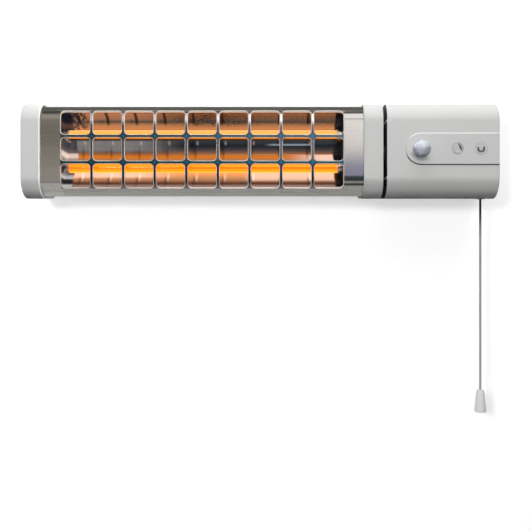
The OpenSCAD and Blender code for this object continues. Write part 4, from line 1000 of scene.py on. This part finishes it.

# %% [markdown]
# ## Quartz tubes and coils
# Each tube is clear fused quartz round a coil of resistance wire at orange heat. The coil is a
# helix: its line is (x, r cos 2 pi n t, r sin 2 pi n t), and a small circle is carried along it.
# The glass is given a painted glow between the clips, with painted highlights at its edges and
# painted shade along the upper tube's lower edge.

# %% Tubes and coils
def glow_finish():
    """Clear quartz with a painted orange glow between the clips, darker on the upper tube and black
    along its lower edge as painted shade. Pale bands at the tubes' edges are painted highlights,
    and a thin redder line along the middle is a painted shadow of the coil."""
    place = new_material("quartz")
    along, _, up = in_mm(place)
    hot = band(along, -244, 98.5, 2.2)
    cloud = noise(place, 1, stretch=(10, 60, 60))
    # lower tube: painted glow, a redder painted coil shadow line, painted highlights at its edges
    lower = layers(blend(rise(up, -19, -17), (100, 29, 0), (100, 25, 0)),
                   (band(up, -22.4, -21, 0.35), (74, 8, 0)),
                   ((1 - band(up, -25.6, -15.6, 0.6)) * 0.7, (95, 46, 8)))
    # upper tube: darker painted glow, black below 16.4 mm as painted shade, a painted highlight at
    # its top
    upper = layers(blend(band(up, 16.4, 24.8, 0.3), (1, 0.8, 0.2), (66, 20, 0.2)),
                   (band(up, 16.4, 19.2, 0.3), (88, 36, 0.2)),
                   (rise(up, 19.2, 20.2), (50, 38, 8)), (rise(up, 24.4, 25.2), (60, 42, 24)))
    fire = blend(rise(up, -5, 5), lower, upper)
    # base colour amber, with painted shade on the upper tube's lower edge
    amber_and_shade = blend(band(up, 5, 16.2, 0.3), (55, 20, 1), (5, 4, 3))
    return surface(place, blend(hot, (90, 88, 86), amber_and_shade), 0.05 + cloud * 0.05,
                   ior=1.45, transmission_weight=0.85, emission_strength=0.8,
                   emission_color=blend(hot, 0, fire))


def coil_glow():
    """Grey resistance wire, orange hot between its leads, a little brighter here and there."""
    place = new_material("filament")
    hot = band(in_mm(place)[0], -245, 99.5, 3)
    cloud = noise(place, 1, stretch=(200, 400, 400))
    fire = blend(cloud, (100, 25, 1), (100, 34, 2))
    return surface(place, blend(cloud, (22, 20, 20), (30, 28, 28)), 0.45 + cloud * 0.1,
                   metallic=1, emission_strength=0.5,
                   emission_color=blend(hot, (2, 0.2, 0), fire))


def helix_tube(z, turns=118, radius=4.45, wire=0.42, steps=18, around=6):
    """A circle of the wire's radius carried along the helix, and along straight leads at its
    ends: at each point the circle lies in the plane of the outward direction and the axis."""
    t = np.linspace(0, 1, turns * steps + 1)
    grow = np.clip(np.minimum(t, 1 - t) * turns * 2, 0, 1)
    a = np.pad(2 * pi * turns * t, 1, "edge")
    x = np.concatenate([LEAD_X[:1], COIL_X[0] + (COIL_X[1] - COIL_X[0]) * t, LEAD_X[1:]])
    r = np.pad(radius * grow, 1)
    out = stacked(0, cos(a), sin(a))
    middle = stacked(x, TUBE_Y + r * cos(a), z + r * sin(a))
    way = unit(np.gradient(middle, axis=0))
    cross = unit(np.cross(way, out))
    out = np.cross(cross, way)
    b = circle(around)[:, None]
    tube = middle[:, None] + wire * (cos(b) * out[:, None] + sin(b) * cross[:, None])
    return closed(tube * MM)


COIL_X, LEAD_X = (-248.4, 103.1), (-282.0, 136.75)
QUARTZ, GLOW = glow_finish(), coil_glow()
TUBE_R, BORE_R, TUBE_OUT, MELT = 6.5, 5.5, 13.0, 0.3
x0, x1 = CHEEK_X[0] - TUBE_OUT, CHEEK_X[1] + TUBE_OUT
pipe = np.array([(BORE_R, x0), (5.7, x0), (TUBE_R, x0 + MELT), (TUBE_R, x1 - MELT), (6.3, x1),
                 (BORE_R, x1), (BORE_R, x0)]) * MM
for side, z in (("upper", TUBE_Z), ("lower", -TUBE_Z)):
    piece(f"{side}_tube_glass", [lathe(pipe, (0, TUBE_Y * MM, z * MM), "x", 48)],
          "head", QUARTZ, [f"{side}_quartz_tube"], angle=30)
    piece(f"{side}_wound_coil", helix_tube(z), "head", GLOW, [f"{side}_coil"])

# %% [markdown]
# ## Everything else
# The remaining solids are right as they are: sheet-metal parts, screws, pivots and the electrical
# parts in the box. Those that can be seen from outside get a merged copy for clean edges, and
# those that are closed in keep the CAD mesh. All get the finish of their material slot.

# %% Finishes of the other slots
FINISHES = {"polished_sheet": TROUGH}
for slot, low, high, rough, metallic, scale in (
        ("zinc_sheet", (42, 43, 43), (58, 59, 60), 0.38, 0.85, 90),
        ("ceramic", (78, 74, 66), (90, 87, 80), 0.7, 0, 70),
        ("brass", (55, 40, 16), (78, 64, 34), 0.3, 1, 80),
        ("zinc_hardware", (45, 46, 47), (66, 67, 68), 0.3, 1, 160),
        ("nylon", (78, 77, 71), (88, 87, 83), 0.45, 0, 50),
        ("switch_red", (42, 5, 3.5), (60, 10, 7), 0.4, 0, 40),
        ("dark_plastic", (2.5, 2.5, 2.8), (5.5, 5.5, 6), 0.45, 0, 60),
        ("board", (3, 15, 7), (6, 24, 11), 0.35, 0, 200),
        ("lead_sleeve", 3, 7, 0.6, 0, 300),
        ("grommet_rubber", 2, 5, 0.7, 0, 120),
        ("guide_plastic", 6, 13, 0.4, 0, 150)):
    FINISHES[slot] = mottled(slot, low, high, rough, metallic, scale)
BEVELS = {0.0: "rear_housing wall_rail pivot_tube ceramic_caps left_end_plate right_end_plate",
          0.15: "cord_guide cap_screws cover_screws pivot_pin arm_rivets left_pivot_bush"
                " bracket_bush",
          0.2: "pivot_arm pivot_bracket hub_ring cable_grommet"}
OUTSIDE = {node: width for width, nodes in BEVELS.items() for node in nodes.split()}
for node, slot in SLOTS.items():
    if slot not in FINISHES or frame["nodes"][node].hide_render:
        continue
    if node in OUTSIDE:
        kept(node, f"{node}_dressed", FINISHES[slot], OUTSIDE[node])
    else:
        mesh = frame["nodes"][node].data
        mesh.materials.clear()
        mesh.materials.append(FINISHES[slot])
print("dressed:", len(OUTSIDE), "of", len(frame["nodes"]))

# %% [markdown]
# ## Light
# Two broad soft lamps stand in front and above, so that the tops turn white and the undersides
# fall into shade. A small one stands at the left, as high as the heater, and draws the edges of
# the bell's and cord's shadows on the wall. The metal doesn't see the lamps. It mirrors a
# glowing card in front of the heater and the room around, a pale grey that gets darker towards
# the ground and straight above.

# %% Lamps and room
for name, place, aim, size, power in (
        ("key_lamp", (0.15, -1.35, 1.35), (0, -0.08, 0), (1.8, 0.9), 6),
        ("top_lamp", (0, -0.45, 1.6), (0, -0.05, 0), (1.6, 0.6), 23),
        ("front_lamp", (-0.45, -1.6, 0.06), (0, -0.05, 0), (0.22, 0.22), 11)):
    data = bpy.data.lights.new(name, "AREA")
    data.shape, data.size, data.size_y, data.energy = "RECTANGLE", *size, power
    lamp = bpy.data.objects.new(name, data)
    lamp.location = place
    lamp.rotation_euler = (Vector(aim) - Vector(place)).to_track_quat("-Z", "Y").to_euler()
    lamp.visible_glossy = False
    bpy.context.collection.objects.link(lamp)


def card_finish():
    """What the metal sees in front of it: a dark lower half, a pale upper half that is brighter
    to the right, and darkness again above."""
    place = new_material("card_glow")
    up, across = axis(place, "Z"), axis(place, "X")
    right, middle = rise(across, -0.9, 0.55), rise(across, -0.6, 0.6)
    lit = band(up, 0.33, 4.2, 0.12) * (-0.1 + 1.98 * right)
    crown = band(up, 0.75, 3.6, 0.25) * 0.45 * (1 - middle)
    glow = place.node("Emission", sockets={
        "Color": blend(middle, (100, 94, 86), (99, 97, 100)),
        "Strength": 0.36 - 0.2 * right + lit + crown})
    return finished(place, glow)


CARD_Y, CARD_TOP = -2.6, 5.0
card = stage_plane("front_card", WIDE, (CARD_Y, CARD_Y), (FLOOR_Z, CARD_TOP), card_finish())
card.visible_camera = card.visible_diffuse = False

world = bpy.data.worlds.new("studio")
sky = coordinates(world, "Generated")
room = ramp(axis(sky, "Z") * 0.5 + 0.5, (0, 16), (45, 25), (55, 50, 50, 51), (80, 55), (95, 15))
back_light = sky.node("Background", sockets={"Color": room, "Strength": 0.5})
sky.node("OutputWorld", sockets={"Surface": back_light})
bpy.context.scene.world = world
bpy.context.scene.view_settings.view_transform = "Standard"
print("lamps set")
